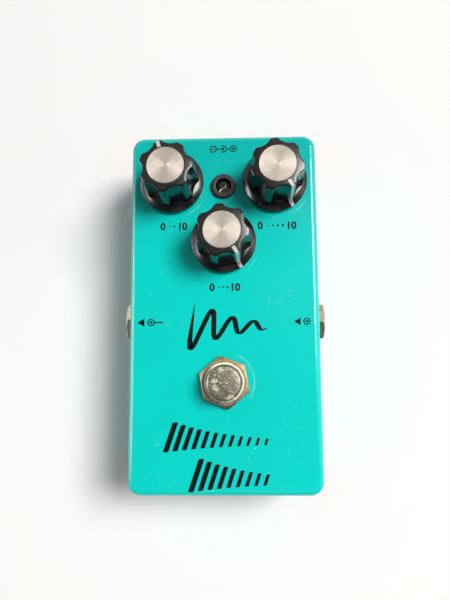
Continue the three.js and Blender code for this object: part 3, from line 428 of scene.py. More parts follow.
@dataclass(frozen=True)
class GlossPaint(Finish):
    """Gloss enamel over the casting, with faint orange peel, specks, hair scratches and rubbed places.

    Its colour is painted a little darker towards the end with the power jack, as painted shade where the
    panel gets less light.
    """

    worn: Colour = (0.34, 0.80, 0.74)
    wear: tuple[Union[Scuff, Rub], ...] = ()

    def shade(self, recipe: Recipe) -> bpy.types.Material:
        """Writes the paint into a recipe.

        Args:
            recipe: The empty recipe.

        Returns:
            The finished material.
        """
        cloud = recipe.noise(26, 3).between(0.3, 0.7)
        tone = recipe.mix(cloud * 0.5, self.colour, [part * 0.93 for part in self.colour])
        # painted shade: the paint darkens towards the power-jack end, standing in for the dimmer light there
        tone = recipe.mix(recipe.axis("Y").between(8, 60), tone, [part * 0.7 for part in self.colour])
        specks = recipe.flecks(2.4, (0.12, 0.05), 9, (0.54, 0.66))
        hair = recipe.strokes(0.14, 4.5, 38).between(0.7, 0.76)
        crossing = recipe.strokes(0.12, 4.2, 116).between(0.71, 0.77)
        scratches = (hair + crossing) * recipe.noise(11, 2).between(0.52, 0.66)
        marks = specks * 0.8 + scratches * 0.3
        for place in self.wear:
            marks = marks + place.mask(recipe)
        marks = marks.at_most(1)
        peel = recipe.noise(0.9, 2)
        rough = self.rough + cloud * 0.04 + marks * 0.25
        normal = recipe.bump(peel - marks * 0.5, 0.004)
        return recipe.surface(Base_Color=recipe.mix(marks, tone, self.worn), Roughness=rough, Normal=normal)


@dataclass(frozen=True)
class Moulded(Finish):
    """Moulded plastic: faint flow marks, a fine grain, and dust and rubbing on what faces up."""

    dusty: Colour = (0.045, 0.045, 0.040)
    lint_colour: Colour = (0.42, 0.40, 0.36)
    dust: float = 0.0
    lint: float = 0.25
    satin_slope: float = 0.0

    def shade(self, recipe: Recipe) -> bpy.types.Material:
        """Writes the plastic into a recipe.

        Args:
            recipe: The empty recipe.

        Returns:
            The finished material.
        """
        cloud = recipe.noise(2.2, 4)
        fine = recipe.noise(0.12, 2)
        lint = recipe.flecks(1.1, (0.10, 0.05), 2.5, (0.46, 0.6))
        facing = recipe.up().between(0.955, 0.995)
        dust = facing * self.dust * (0.3 + cloud * 1.1)
        tone = recipe.mix(dust.at_most(1), self.colour, self.dusty)
        tone = recipe.mix(lint * self.lint, tone, self.lint_colour)
        sloped = recipe.up().between(0.82, 0.92) * self.satin_slope
        rough = self.rough + facing * self.dust * 0.22 + sloped + (cloud - 0.5) * 0.08
        return recipe.surface(Base_Color=tone, Roughness=rough, Normal=recipe.bump(fine, 0.002))


@dataclass(frozen=True)
class Metal(Finish):
    """Plated or turned metal: soft tarnish, fine tool marks and an uneven polish."""

    tarnish: Colour = (0.30, 0.24, 0.16)
    tarnished: float = 0.35

    def tone(self, recipe: Recipe) -> Signal:
        """The metal's colour with its tarnish.

        Args:
            recipe: The metal's recipe.

        Returns:
            The colour.
        """
        blotch = recipe.noise(1.6, 4).between(0.45, 0.75) * self.tarnished
        return recipe.mix(blotch, self.colour, self.tarnish)

    def shade(self, recipe: Recipe) -> bpy.types.Material:
        """Writes the metal into a recipe.

        Args:
            recipe: The empty recipe.

        Returns:
            The finished material.
        """
        cloud = recipe.noise(1.1, 4)
        marks = recipe.noise(0.5, 2, recipe.placed(stretch=(1, 1, 9)))
        rough = self.rough + (cloud - 0.5) * 0.18
        return recipe.surface(Base_Color=self.tone(recipe), Metallic=1.0, Roughness=rough,
                              Normal=recipe.bump(marks, 0.005))


@dataclass(frozen=True)
class SpunMetal(Metal):
    """A turned disc of bright aluminium, a little greasy, with pits, and dark streaks from its centre that
    are a painted reflection of its spun grooves.
    """

    centre: Pair = (0.0, 0.0)

    def shade(self, recipe: Recipe) -> bpy.types.Material:
        """Writes the spun metal into a recipe.

        Args:
            recipe: The empty recipe.

        Returns:
            The finished material.
        """
        cloud = recipe.noise(3.5, 3)
        grain = recipe.noise(0.25, 4)
        pits = recipe.flecks(0.75, (0.16, 0.06), 2, (0.42, 0.56))
        x, y = recipe.plan(self.centre)
        # painted reflection: dark radial streaks in the colour stand in for the streaky sheen of the spun
        # grooves
        rays = recipe.noise(0.16, 3, y.maths("ARCTAN2", y, x)).between(0.4, 0.66)
        dull = cloud.between(0.4, 0.8) * 0.3 + grain.between(0.35, 0.7) * 0.45 + pits * 0.6 + rays * 0.22
        tone = recipe.mix(dull.at_most(1), self.colour, self.tarnish)
        rough = self.rough + (cloud - 0.5) * 0.08 + (grain - 0.5) * 0.15
        normal = recipe.bump(grain, 0.006)
        return recipe.surface(Base_Color=tone, Metallic=1.0, Roughness=rough, Normal=normal)


@dataclass(frozen=True)
class TreadMetal(Metal):
    """The footswitch's chrome, trodden dull: fine scratches and pale patches where the plating has gone, with
    painted shade on its upright sides and towards its lower left, and an amber ring that is partly painted
    reflection on the lit side.
    """

    centre: Pair = (0.0, 0.0)
    bare: Colour = (0.60, 0.60, 0.36)
    ring: Colour = (0.44, 0.27, 0.12)
    scratched: Colour = (0.66, 0.64, 0.55)
    painted_shade: Colour = (0.10, 0.095, 0.06)
    side_shade_colour: Colour = (0.06, 0.055, 0.035)
    ring_radius: float = 6.62
    trodden: float = 1.0
    side_shade: float = 0.7
    gritty: float = 0.6
    chips: tuple[Triple, ...] = ()

    def shade(self, recipe: Recipe) -> bpy.types.Material:
        """Writes the worn chrome into a recipe.

        Args:
            recipe: The empty recipe.

        Returns:
            The finished material.
        """
        facing = recipe.up().between(0.6, 0.95) * self.trodden
        out = recipe.distance(self.centre)
        ragged = recipe.noise(0.7, 4) - 0.5
        patches: Number = 0.0
        for right, ahead, radius in self.chips:
            middle = (self.centre[0] + right, self.centre[1] + ahead)
            near = recipe.distance(middle) / radius + ragged * 2.4
            patches = near.between(1.0, 0.75) + patches
        patches = (recipe.noise(0.4, 3).between(0.3, 0.5) * patches * facing).between(0, 1)
        first, second = recipe.strokes(0.5, 9, 52), recipe.strokes(0.45, 7, -31)
        scratches = (first.between(0.58, 0.68) + second.between(0.6, 0.7)) * facing
        untrodden = 1 - self.trodden
        turned = recipe.noise(0.32, 2, out).between(0.4, 0.6) * untrodden
        x, y = recipe.plan(self.centre)
        across = x / out
        lean = across * 0.8 + y / out * 1.2
        # partly brass showing through and partly painted reflection: the amber ring is kept to the side
        # towards the key light
        amber_tint_and_glint = abs(out - self.ring_radius).between(0.3, 0.1) * untrodden * lean.between(-0.6, 0.5)
        # painted shade: the metal is darkened towards the lower left and the left, away from the key light
        painted_shade = lean.between(0.2, -1.1) * recipe.noise(1.2, 4).between(0.35, 0.6)
        painted_shade = (painted_shade + across.between(-0.55, -0.85) * 0.8).between(0, 1) * untrodden
        dark = [part * 0.3 for part in self.colour]
        grit = recipe.noise(0.3, 4)
        tool_marks = turned * recipe.noise(1.8, 3).between(0.35, 0.6) * 0.4
        # painted shade: faces that turn sideways are darkened
        sides = recipe.up().between(0.5, 0.15) * self.side_shade
        tone = self.tone(recipe)
        for share, colour in (
            (tool_marks, dark), (amber_tint_and_glint, self.ring), (painted_shade * 0.5, self.painted_shade),
            (scratches * 0.5, self.scratched), (patches, self.bare),
            (grit.between(0.48, 0.62) * self.gritty, dark), (sides, self.side_shade_colour),
        ):
            tone = recipe.mix(share, tone, colour)
        rough = self.rough + facing * 0.08 + patches * 0.2 + (grit - 0.5) * 0.2
        normal = recipe.bump(grit + scratches * 0.6 - patches, 0.016)
        return recipe.surface(Base_Color=tone, Metallic=1 - patches * 0.6, Roughness=rough, Normal=normal)


@dataclass(frozen=True)
class ClearResin(Finish):
    """Clear cast resin with a few fine ripples."""

    def shade(self, recipe: Recipe) -> bpy.types.Material:
        """Writes the resin into a recipe.

        Args:
            recipe: The empty recipe.

        Returns:
            The finished material.
        """
        ripple = recipe.noise(1.3, 2)
        return recipe.surface(Base_Color=self.colour, Roughness=self.rough + ripple * 0.04,
                              Transmission_Weight=0.94, IOR=1.5, Normal=recipe.bump(ripple, 0.01))


PANEL = 33.5
MIDDLE_Y = -0.8146
SWITCH_PLACE = (0.0, -23.0146)
TIME_PLACE = (-16.2, 39.3354)
REPEAT_PLACE = (16.2, 39.3354)
LEVEL_PLACE = (0.0, 20.1854)
LED_PLACE = (0.0, 37.9354)

CHIPS = (
    (-0.7, 3.8, 0.75), (-2.9, 0.7, 0.7), (-2.0, 0.8, 0.5), (-2.6, -1.1, 0.8), (-1.9, -1.7, 0.65),
    (1.5, -4.1, 0.9), (2.6, -3.7, 0.6), (3.8, 0.9, 0.45), (-2.5, 2.4, 0.3), (-0.9, 0.1, 0.35),
)
WEAR = (
    Scuff(TIME_PLACE, 11.3, 0.3, -50, 24, 0.45),
    Scuff(TIME_PLACE, 12.9, 0.22, -38, 14, 0.35),
    Scuff(REPEAT_PLACE, 11.4, 0.3, -48, 22, 0.65),
    Scuff(LEVEL_PLACE, 11.3, 0.2, -35, 26, 0.35),
    Scuff(SWITCH_PLACE, 9.0, 0.4, 16, 50, 0.4),
    Rub((17.2, 4.5), 9.0, 62, 1.0),
    Rub((19.5, -40.5), 8.5, 48, 0.9),
    Rub((-20.0, -51.0), 5.0, 24, 0.4),
    Rub((18.5, 19.0), 5.0, 75, 0.45),
    Rub((-10.5, 26.5), 5.0, 60, 0.5),
)
PAINT = GlossPaint("teal_paint", "teal_paint", (0.0, 0.665, 0.595), 0.15, wear=WEAR)
GLOSS_BLACK = Moulded("gloss_black", "black_gloss_plastic", (0.005, 0.005, 0.005), 0.15, dust=0.4, lint=0.7,
                     satin_slope=0.06)
SATIN_BLACK = Moulded("satin_black", "black_plastic", (0.012, 0.012, 0.012), 0.34, dust=0.8)
BLUE_SHELL = Moulded("blue_shell", "blue_plastic", (0.03, 0.13, 0.42), 0.4)
CHIP_BLACK = Moulded("chip_black", "chip_black", (0.02, 0.02, 0.022), 0.5, dust=0.3)
SLEEVE = Moulded("capacitor_sleeve", "capacitor_sleeve", (0.012, 0.02, 0.07), 0.3)
BOARD = Finish("board_green", "circuit_board_green", (0.02, 0.15, 0.055), 0.3)
RUBBER = Finish("rubber", "rubber", (0.018, 0.018, 0.018), 0.85)
POINTER = Finish("pointer_white", None, (0.58, 0.57, 0.52), 0.25)
INK = Finish("ink", None, (0.002, 0.009, 0.008), 0.2)
SPUN = {
    place: SpunMetal(f"spun_aluminium_{side}", "spun_aluminium", (0.535, 0.485, 0.425), 0.56,
                     (0.27, 0.235, 0.195), centre=place)
    for side, place in (("left", TIME_PLACE), ("right", REPEAT_PLACE), ("middle", LEVEL_PLACE))
}
NICKEL = Metal("nickel", "nickel", (0.72, 0.62, 0.47), 0.26, tarnished=0.6)
LEAD_FRAME = Metal("lead_frame", "nickel", (0.92, 0.88, 0.80), 0.36, tarnished=0.2)
STEEL = Metal("dark_steel", "dark_steel", (0.24, 0.24, 0.25), 0.36, (0.15, 0.13, 0.11))
BRASS = Metal("brass", "brass", (0.72, 0.52, 0.24), 0.3, (0.4, 0.26, 0.12))
NUT_CHROME = TreadMetal("nut_chrome", "worn_chrome", (0.40, 0.35, 0.25), 0.5, (0.24, 0.195, 0.125), 0.6,
                        SWITCH_PLACE, trodden=0.0, side_shade=0.35, gritty=0.5)
THREAD_CHROME = TreadMetal("thread_chrome", "worn_chrome", (0.95, 0.88, 0.70), 0.6, (0.62, 0.55, 0.42), 0.2,
                           SWITCH_PLACE, ring_radius=0.0, trodden=0.0, side_shade=0.0, gritty=0.3)
BUTTON_CHROME = TreadMetal("button_chrome", "worn_chrome", (0.285, 0.272, 0.21), 0.32, (0.16, 0.14, 0.105),
                           0.9, SWITCH_PLACE, chips=CHIPS)
# painted shade: the lens resin is tinted dark grey-brown so that the water-clear lens looks dark, as it does
# unlit
RESIN = ClearResin("clear_resin", "clear_lens", (0.46, 0.43, 0.39), 0.03)


# Solids -------------------------------------------------------------------------------------------------


def circle_arc(centre: Pair, radius: float, start_deg: float, end_deg: float,
               steps: int) -> list[Pair]:
    """Points along an arc, for the rounded edge of a profile.

    Args:
        centre: The arc's centre.
        radius: The arc's radius.
        start_deg: The angle of the first point.
        end_deg: The angle of the last point.
        steps: How many steps lie between them.

    Returns:
        The points.
    """
    turns = [math.radians(start_deg + (end_deg - start_deg) * step / steps) for step in range(steps + 1)]
    return [(centre[0] + radius * math.cos(turn), centre[1] + radius * math.sin(turn)) for turn in turns]


def three_axis_frame(place: Sequence[float], turns_deg: Sequence[float]) -> Matrix:
    """The frame of a piece that sits square on a wall.

    Args:
        place: Its origin in millimetres.
        turns_deg: Its turns about X, then the turned Y, then the turned Z.

    Returns:
        The frame's matrix.
    """
    matrix = Matrix.Translation(place)
    for axis, turn in zip("XYZ", turns_deg):
        matrix = matrix @ Matrix.Rotation(math.radians(turn), 4, axis)
    return matrix


def stand(name: str, data: bpy.types.ID) -> bpy.types.Object:
    """Puts an object with the given data into the scene.

    Args:
        name: The object's name.
        data: Its mesh, text, light or camera.

    Returns:
        The object.
    """
    made = bpy.data.objects.new(name, data)
    bpy.context.scene.collection.objects.link(made)
    return made


def settled_mesh(source: bpy.types.Object) -> bpy.types.Mesh:
    """A new mesh of an object as its modifiers leave it."""
    return bpy.data.meshes.new_from_object(source.evaluated_get(bpy.context.evaluated_depsgraph_get()))


class Solid:
    """A mesh under construction, in millimetres."""

    def __init__(self) -> None:
        """Starts an empty solid."""
        self.mesh = bmesh.new()

    @classmethod
    def turned(cls, profile: Profile, steps: int = 72, closed: bool = False) -> "Solid":
        """A shape turned about +Z.

        Args:
            profile: The radius and height of each point.
            steps: How many steps go round.
            closed: Whether the last point joins the first, as on a tube.

        Returns:
            The solid.
        """
        made = cls()
        corners = [made.mesh.verts.new((radius, 0, height)) for radius, height in profile]
        pairs = list(zip(corners, corners[1:])) + ([(corners[-1], corners[0])] if closed else [])
        edges = [made.mesh.edges.new(pair) for pair in pairs]
        bmesh.ops.spin(made.mesh, geom=corners + edges, cent=(0, 0, 0), axis=(0, 0, 1), angle=TURN,
                       steps=steps, use_merge=True)
        bmesh.ops.remove_doubles(made.mesh, verts=made.mesh.verts[:], dist=TOUCHING)
        return made.outward()

    @classmethod
    def bar(cls, radius: float, low: float, high: float, steps: int = 72) -> "Solid":
        """A round bar with a corner at +X.

        Args:
            radius: Its radius.
            low: Its foot.
            high: Its top.
            steps: How many steps go round.

        Returns:
            The solid.
        """
        made = cls()
        place = Matrix.Translation((0, 0, (low + high) / 2)) @ Matrix.Rotation(-TURN / 4, 4, "Z")
        bmesh.ops.create_cone(made.mesh, cap_ends=True, segments=steps, radius1=radius, radius2=radius,
                              depth=high - low, matrix=place)
        return made

    @classmethod
    def hexagon(cls, flats: float, low: float, high: float) -> "Solid":
        """A hexagonal bar with a corner at +X, sized across its flats."""
        return cls.bar(flats / math.sqrt(3), low, high, 6)

    @classmethod
    def block(cls, width: float, length: float, low: float, high: float, round_radius: float = 0,
              steps: int = 8) -> "Solid":
        """A block whose upright edges may be rounded.

        Args:
            width: Its size along X.
            length: Its size along Y.
            low: Its underside.
            high: Its top.
            round_radius: The radius of its upright edges.
            steps: How many steps go round each of them.

        Returns:
            The solid.
        """
        made = cls()
        place = Matrix.Translation((0, 0, (low + high) / 2)) @ Matrix.Diagonal((width, length, high - low, 1))
        bmesh.ops.create_cube(made.mesh, size=1, matrix=place)
        return made.rounded(made.upright_edges(), round_radius, steps) if round_radius else made

    def upright_edges(self) -> list[bmesh.types.BMEdge]:
        """The edges that run between two heights."""
        return [edge for edge in self.mesh.edges
                if abs(edge.verts[0].co.z - edge.verts[1].co.z) > NEARLY_LEVEL]

    def level_edges(self, height: float) -> list[bmesh.types.BMEdge]:
        """The sharp edges at one height."""
        return [edge for edge in self.mesh.edges
                if all(abs(corner.co.z - height) < NEARLY_LEVEL for corner in edge.verts)
                and len(edge.link_faces) == 2 and edge.calc_face_angle(0) > 0.5]

    def rounded(self, edges: Iterable[bmesh.types.BMEdge], radius: float, steps: int) -> "Solid":
        """Rounds edges.

        Args:
            edges: The edges.
            radius: The radius.
            steps: How many steps go round.

        Returns:
            This solid.
        """
        bmesh.ops.bevel(self.mesh, geom=list(edges), offset=radius, offset_type="OFFSET", segments=steps,
                        profile=0.5, affect="EDGES", clamp_overlap=False, material=-1)
        return self

    def outward(self) -> "Solid":
        """Turns every face outwards."""
        bmesh.ops.recalc_face_normals(self.mesh, faces=self.mesh.faces[:])
        return self

    def data(self, name: str = "loose") -> bpy.types.Mesh:
        """A mesh of Blender's with this solid's faces.

        Args:
            name: The mesh's name.

        Returns:
            The mesh.
        """
        made = bpy.data.meshes.new(name)
        self.mesh.to_mesh(made)
        return made

    def moved(self, x: float = 0, y: float = 0, z: float = 0, turn_deg: float = 0) -> "Solid":
        """Turns the solid about +Z and then moves it."""
        turn = Matrix.Rotation(math.radians(turn_deg), 4, "Z")
        return self.placed(Matrix.Translation((x, y, z)) @ turn)

    def placed(self, matrix: Matrix) -> "Solid":
        """Puts the solid into another frame."""
        bmesh.ops.transform(self.mesh, matrix=matrix, verts=self.mesh.verts[:])
        return self

    def beside(self, *others: "Solid") -> "Solid":
        """Adds the faces of other solids.

        Args:
            others: The other solids, which stay separate shells.

        Returns:
            This solid.
        """
        for other in others:
            loose = other.data()
            self.mesh.from_mesh(loose)
            bpy.data.meshes.remove(loose)
        return self

    def cut(self, *tools: "Solid") -> "Solid":
        """Takes other solids away."""
        return self.boolean("DIFFERENCE", tools)

    def fused(self, *others: "Solid") -> "Solid":
        """Joins other solids on."""
        return self.boolean("UNION", others)

    def within(self, other: "Solid") -> "Solid":
        """Keeps what lies inside another solid."""
        return self.boolean("INTERSECT", [other])

    def boolean(self, operation: str, tools: Iterable["Solid"]) -> "Solid":
        """Combines this solid with others, one after another.

        Args:
            operation: The Boolean modifier's operation.
            tools: The other solids.

        Returns:
            This solid.
        """
        for tool in tools:
            pair = [stand("loose", solid.data()) for solid in (self, tool)]
            modifier = pair[0].modifiers.new("combine", "BOOLEAN")
            modifier.operation, modifier.solver, modifier.object = operation, "EXACT", pair[1]
            result = settled_mesh(pair[0])
            self.mesh.free()
            self.mesh = bmesh.new()
            self.mesh.from_mesh(result)
            used = [result, *(loose.data for loose in pair)]
            for loose in pair:
                bpy.data.objects.remove(loose)
            for data in used:
                bpy.data.meshes.remove(data)
        return self

    def piece(self, name: str, finish: Finish, body: Body, replaces: Sequence[str] = (),
              sharp_deg: float = 32, even: bool = True) -> bpy.types.Object:
        """Makes the solid a finished piece of the pedal.

        Args:
            name: The piece's name.
            finish: Its finish.
            body: The body that it rides on.
            replaces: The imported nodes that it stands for.
            sharp_deg: The angle from which an edge stays sharp.
            even: Whether flat faces keep an even shading beside rounded edges.

        Returns:
            The piece's object.
        """
        bmesh.ops.dissolve_degenerate(self.mesh, dist=TOUCHING, edges=self.mesh.edges[:])
        limit = math.radians(sharp_deg)
        for face in self.mesh.faces:
            face.smooth = True
        for edge in self.mesh.edges:
            edge.smooth = len(edge.link_faces) == 2 and edge.calc_face_angle(0) < limit
        data = self.placed(Matrix.Scale(METRES, 4)).data(name)
        self.mesh.free()
        made = stand(name, data)
        data.materials.append(finish.material())
        if even:
            made.modifiers.new("even_shading", "WEIGHTED_NORMAL").keep_sharp = True
        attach(made, body.value)
        if replaces:
            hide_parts(*replaces)
        LOG.info("%s: %d faces", name, len(data.polygons))
        return made


def thread_profile(radius: float, low: float, high: float, pitch: float, depth: float) -> list[Pair]:
    """The outside of a threaded bushing, from its foot up.

    Args:
        radius: The thread's outer radius.
        low: The height where the thread starts.
        high: The height where it ends.
        pitch: The distance between two crests.
        depth: The depth of the thread.

    Returns:
        The points of its crests and roots.
    """
    count = int((high - low) / pitch)
    root = radius - depth
    crest = ((root, 0.05), (radius, 0.42), (radius, 0.58))
    points = [(out, low + (turn + share) * pitch) for turn in range(count) for out, share in crest]
    return points + [(root, low + count * pitch)]


def flat_ring(outer: float, inner: float, low: float, high: float, edge: float) -> Solid:
    """A washer or ring with slightly rounded edges.

    Args:
        outer: Its outer radius.
        inner: Its inner radius.
        low: Its underside.
        high: Its top.
        edge: The radius of its edges.

    Returns:
        The solid.
    """
    corners = ((outer - edge, low + edge), (outer - edge, high - edge), (inner + edge, high - edge),
               (inner + edge, low + edge))
    profile = []
    for start_deg, corner in zip((-90, 0, 90, 180), corners):
        profile += circle_arc(corner, edge, start_deg, start_deg + 90, 3)
    return Solid.turned(profile, 64, closed=True)


def solder_lugs(back: float, length: float, places: Iterable[Pair], lengthwise: bool = False) -> Solid:
    """Flat lugs that stand out of the back of a part.

    Args:
        back: The height of the part's back.
        length: How far they stand out.
        places: The place of each.
        lengthwise: Whether their wide side runs along Y.

    Returns:
        The lugs as one solid.
    """
    width, thickness, root = 2.2, 0.8, 0.8
    across = (thickness, width) if lengthwise else (width, thickness)
    lugs = Solid()
    for place in places:
        lugs.beside(Solid.block(*across, back - length, back + root).moved(*place))
    return lugs


@dataclass
class HexNut:
    """A hex nut with turned chamfers and slightly broken edges."""

    flats: float
    bore: float
    low: float
    high: float
    chamfer_deg: float = 30
    face_inset: float = 0.25
    broken: float = 0.07
    mouth: float = 0.18

    def solid(self) -> Solid:
        """Cuts the nut.

        Returns:
            Its solid, with a corner at +X.
        """
        corner = self.flats / math.sqrt(3)
        drop = (corner - self.flats / 2) * math.tan(math.radians(self.chamfer_deg)) + 0.12
        face = self.flats / 2 - self.face_inset
        mouth = self.bore + self.mouth
        dome = [(self.bore, self.low), (corner + 0.2, self.low), (corner + 0.2, self.high - drop)]
        dome += [(face, self.high), (mouth, self.high), (self.bore, self.high - self.mouth)]
        nut = Solid.hexagon(self.flats, self.low - 1, self.high + 1)
        nut.within(Solid.turned(dome, 96, closed=True))
        sharp = [edge for edge in nut.mesh.edges if edge.calc_face_angle(0) > 0.2
                 and all(end.co.xy.length > mouth + 0.02 for end in edge.verts)]
        return nut.rounded(sharp, self.broken, 2)


# Sub-assemblies -----------------------------------------------------------------------------------------


@dataclass
class Enclosure:
    """The drafted die-cast box with its rounded rim, corner posts, screw bores and drilled holes."""

    width: float = 60.5
    length: float = 112.4
    low: float = 6.5
    high: float = PANEL
    wall: float = 2.3
    side_draft_deg: float = 2.2
    end_draft_deg: float = 1.5
    corner: float = 4.0
    inner_corner: float = 1.8
    rim: float = 1.8
    post_radius: float = 4.2
    post_inset: float = 6.2
    bore_radius: float = 1.9
    bore_depth: float = 14.0
    pot_hole: float = 3.65
    led_hole: float = 3.4
    switch_hole: float = 6.15
    side_hole: float = 4.65
    power_hole: float = 6.15
    middle_y: float = MIDDLE_Y

    def drafted(self, inset: float, low: float, high: float, corner: float, steps: int) -> Solid:
        """A block with the case's drafted walls.

        Args:
            inset: How far it lies inside the case's outer walls.
            low: Its underside.
            high: Its top.
            corner: The radius of its upright edges.
            steps: How many steps go round each of them.

        Returns:
            The solid.
        """
        made = Solid.block(2, 2, low, high)
        for vertex in made.mesh.verts:
            rise = vertex.co.z - self.low
            half_x = self.width / 2 - rise * math.tan(math.radians(self.side_draft_deg)) - inset
            half_y = self.length / 2 - rise * math.tan(math.radians(self.end_draft_deg)) - inset
            vertex.co.x, vertex.co.y = math.copysign(half_x, vertex.co.x), math.copysign(half_y, vertex.co.y)
        return made.rounded(made.upright_edges(), corner, steps)

    def posts(self) -> list[Pair]:
        """The places of the corner posts."""
        x, y = self.width / 2 - self.post_inset, self.length / 2 - self.post_inset
        return [(-x, -y), (x, -y), (-x, y), (x, y)]

    def build(self) -> None:
        """Builds the casting."""
        shell = self.drafted(0, self.low, self.high, self.corner, 10)
        shell.rounded(shell.level_edges(self.high), self.rim, 7)
        ceiling = self.high - self.wall
        shell.cut(self.drafted(self.wall, self.low - 1, ceiling, self.inner_corner, 5))
        for x, y in self.posts():
            shell.fused(Solid.bar(self.post_radius, self.low, ceiling + 1, 40).moved(x, y))
        for x, y in self.posts():
            shell.cut(Solid.bar(self.bore_radius, self.low - 1, self.low + self.bore_depth, 24).moved(x, y))
        shell.moved(0, self.middle_y)
        for radius, places in ((self.pot_hole, (TIME_PLACE, REPEAT_PLACE, LEVEL_PLACE)),
                               (self.led_hole, (LED_PLACE,)), (self.switch_hole, (SWITCH_PLACE,))):
            for place in places:
                shell.cut(Solid.bar(radius, ceiling - 1, self.high + 1, 48).moved(*place))
        for radius, places in ((self.side_hole, (OUTPUT_PLACE, INPUT_PLACE)),
                               (self.power_hole, (POWER_PLACE,))):
            for place in places:
                shell.cut(Solid.bar(radius, -self.wall - 1, 1, 48).placed(place))
        shell.piece("case", PAINT, Body.PEDAL, ["enclosure"])


@dataclass
class BasePlate:
    """The lid under the case, with its locating lip, pads, countersunk screws and stuck-on feet."""

    case: Enclosure
    low: float = 2.5
    high: float = 6.45
    floor: float = 4.5
    edge: float = 1.0
    lip_top: float = 8.0
    lip: float = 1.2
    gap: float = 0.15
    head_radius: float = 3.3
    head_depth: float = 1.7
    screw_radius: float = 1.75
    screw_length: float = 12.0
    cross_width: float = 3.2
    cross_slot: float = 0.7
    cross_depth: float = 1.2
    foot_x: float = 19.5
    foot_y: float = 38.5
    foot_radius: float = 5.0
    tip_radius: float = 4.3

    def build(self) -> None:
        """Builds the lid, its screws and its feet."""
        self.plate()
        names = ["front_left", "front_right", "back_left", "back_right"]
        for name, (x, y) in zip(names, self.case.posts()):
            screw = self.screw().moved(x, y + self.case.middle_y)
            screw.piece(f"lid_screw_{name}", STEEL, Body.PEDAL, [f"base_screw_{name}"])
            foot_x, foot_y = math.copysign(self.foot_x, x), math.copysign(self.foot_y, y)
            foot = self.foot().moved(foot_x, foot_y + self.case.middle_y)
            foot.piece(f"rubber_foot_{name}", RUBBER, Body.PEDAL, [f"foot_{name}"])

    def plate(self) -> None:
        """Builds the lid."""
        case, rim = self.case, self.case.wall + self.gap
        width, length = case.width, case.length
        plate = Solid.block(width, length, self.low, self.high, case.corner, 10)
        plate.rounded(plate.level_edges(self.low), self.edge, 5)
        inner = (width - 2 * rim, length - 2 * rim)
        plate.cut(Solid.block(*inner, self.floor, self.high + 1, case.inner_corner, 5))
        rise = self.lip_top - case.low
        drafts = (case.side_draft_deg, case.end_draft_deg)
        outer = [size - 2 * math.tan(math.radians(draft)) * rise for size, draft in zip(inner, drafts)]
        lip = Solid.block(*outer, self.floor - 0.1, self.lip_top, case.inner_corner, 5)
        within = [size - 2 * self.lip for size in outer]
        lip.cut(Solid.block(*within, self.floor - 1, self.lip_top + 1, 0.7, 4))
        for x, y in case.posts():
            lip.cut(Solid.bar(case.post_radius + self.gap, self.high - 0.1, self.lip_top + 1, 40).moved(x, y))
        plate.fused(lip)
        head, shank = self.head_radius + self.gap, self.screw_radius + self.gap
        sink = [(0, self.low - 1), (head, self.low - 1), (head, self.low + self.gap)]
        sink += [(shank, self.low + self.head_depth + self.gap), (shank, self.high + 1), (0, self.high + 1)]
        for x, y in case.posts():
            plate.fused(Solid.bar(case.post_radius, self.floor - 0.1, self.high, 40).moved(x, y))
            plate.cut(Solid.turned(sink, 40).moved(x, y))
        plate.moved(0, case.middle_y).piece("lid", PAINT, Body.PEDAL, ["base_plate"])

    def screw(self) -> Solid:
        """Makes a countersunk screw with a cross recess.

        Returns:
            The screw, head down.
        """
        low, tip = self.low + self.gap, self.low + self.gap + self.screw_length
        profile = [(0, low), (self.head_radius - 0.1, low), (self.head_radius, low + 0.1)]
        profile += [(self.screw_radius, low + self.head_depth)]
        profile += thread_profile(self.screw_radius, low + 4, tip - 1, 0.7, 0.2)
        screw = Solid.turned([*profile, (0.9, tip), (0, tip)], 36)
        for turn in (0, 90):
            blade = Solid.block(self.cross_width, self.cross_slot, low - 1, low + self.cross_depth)
            for vertex in blade.mesh.verts:
                if vertex.co.z > low:
                    vertex.co.x, vertex.co.y = vertex.co.x * 0.5, vertex.co.y * 0.6
            screw.cut(blade.moved(turn_deg=turn))
        return screw

    def foot(self) -> Solid:
        """Makes a rubber foot.

        Returns:
            The foot, round and with soft edges.
        """
        edge = 0.35
        profile = [(0, 0), *circle_arc((self.tip_radius - edge, edge), edge, -90, -6, 5)]
        profile += [(self.foot_radius - 0.08, self.low - 0.15), (self.foot_radius - 0.2, self.low)]
        return Solid.turned([*profile, (0, self.low)], 48)


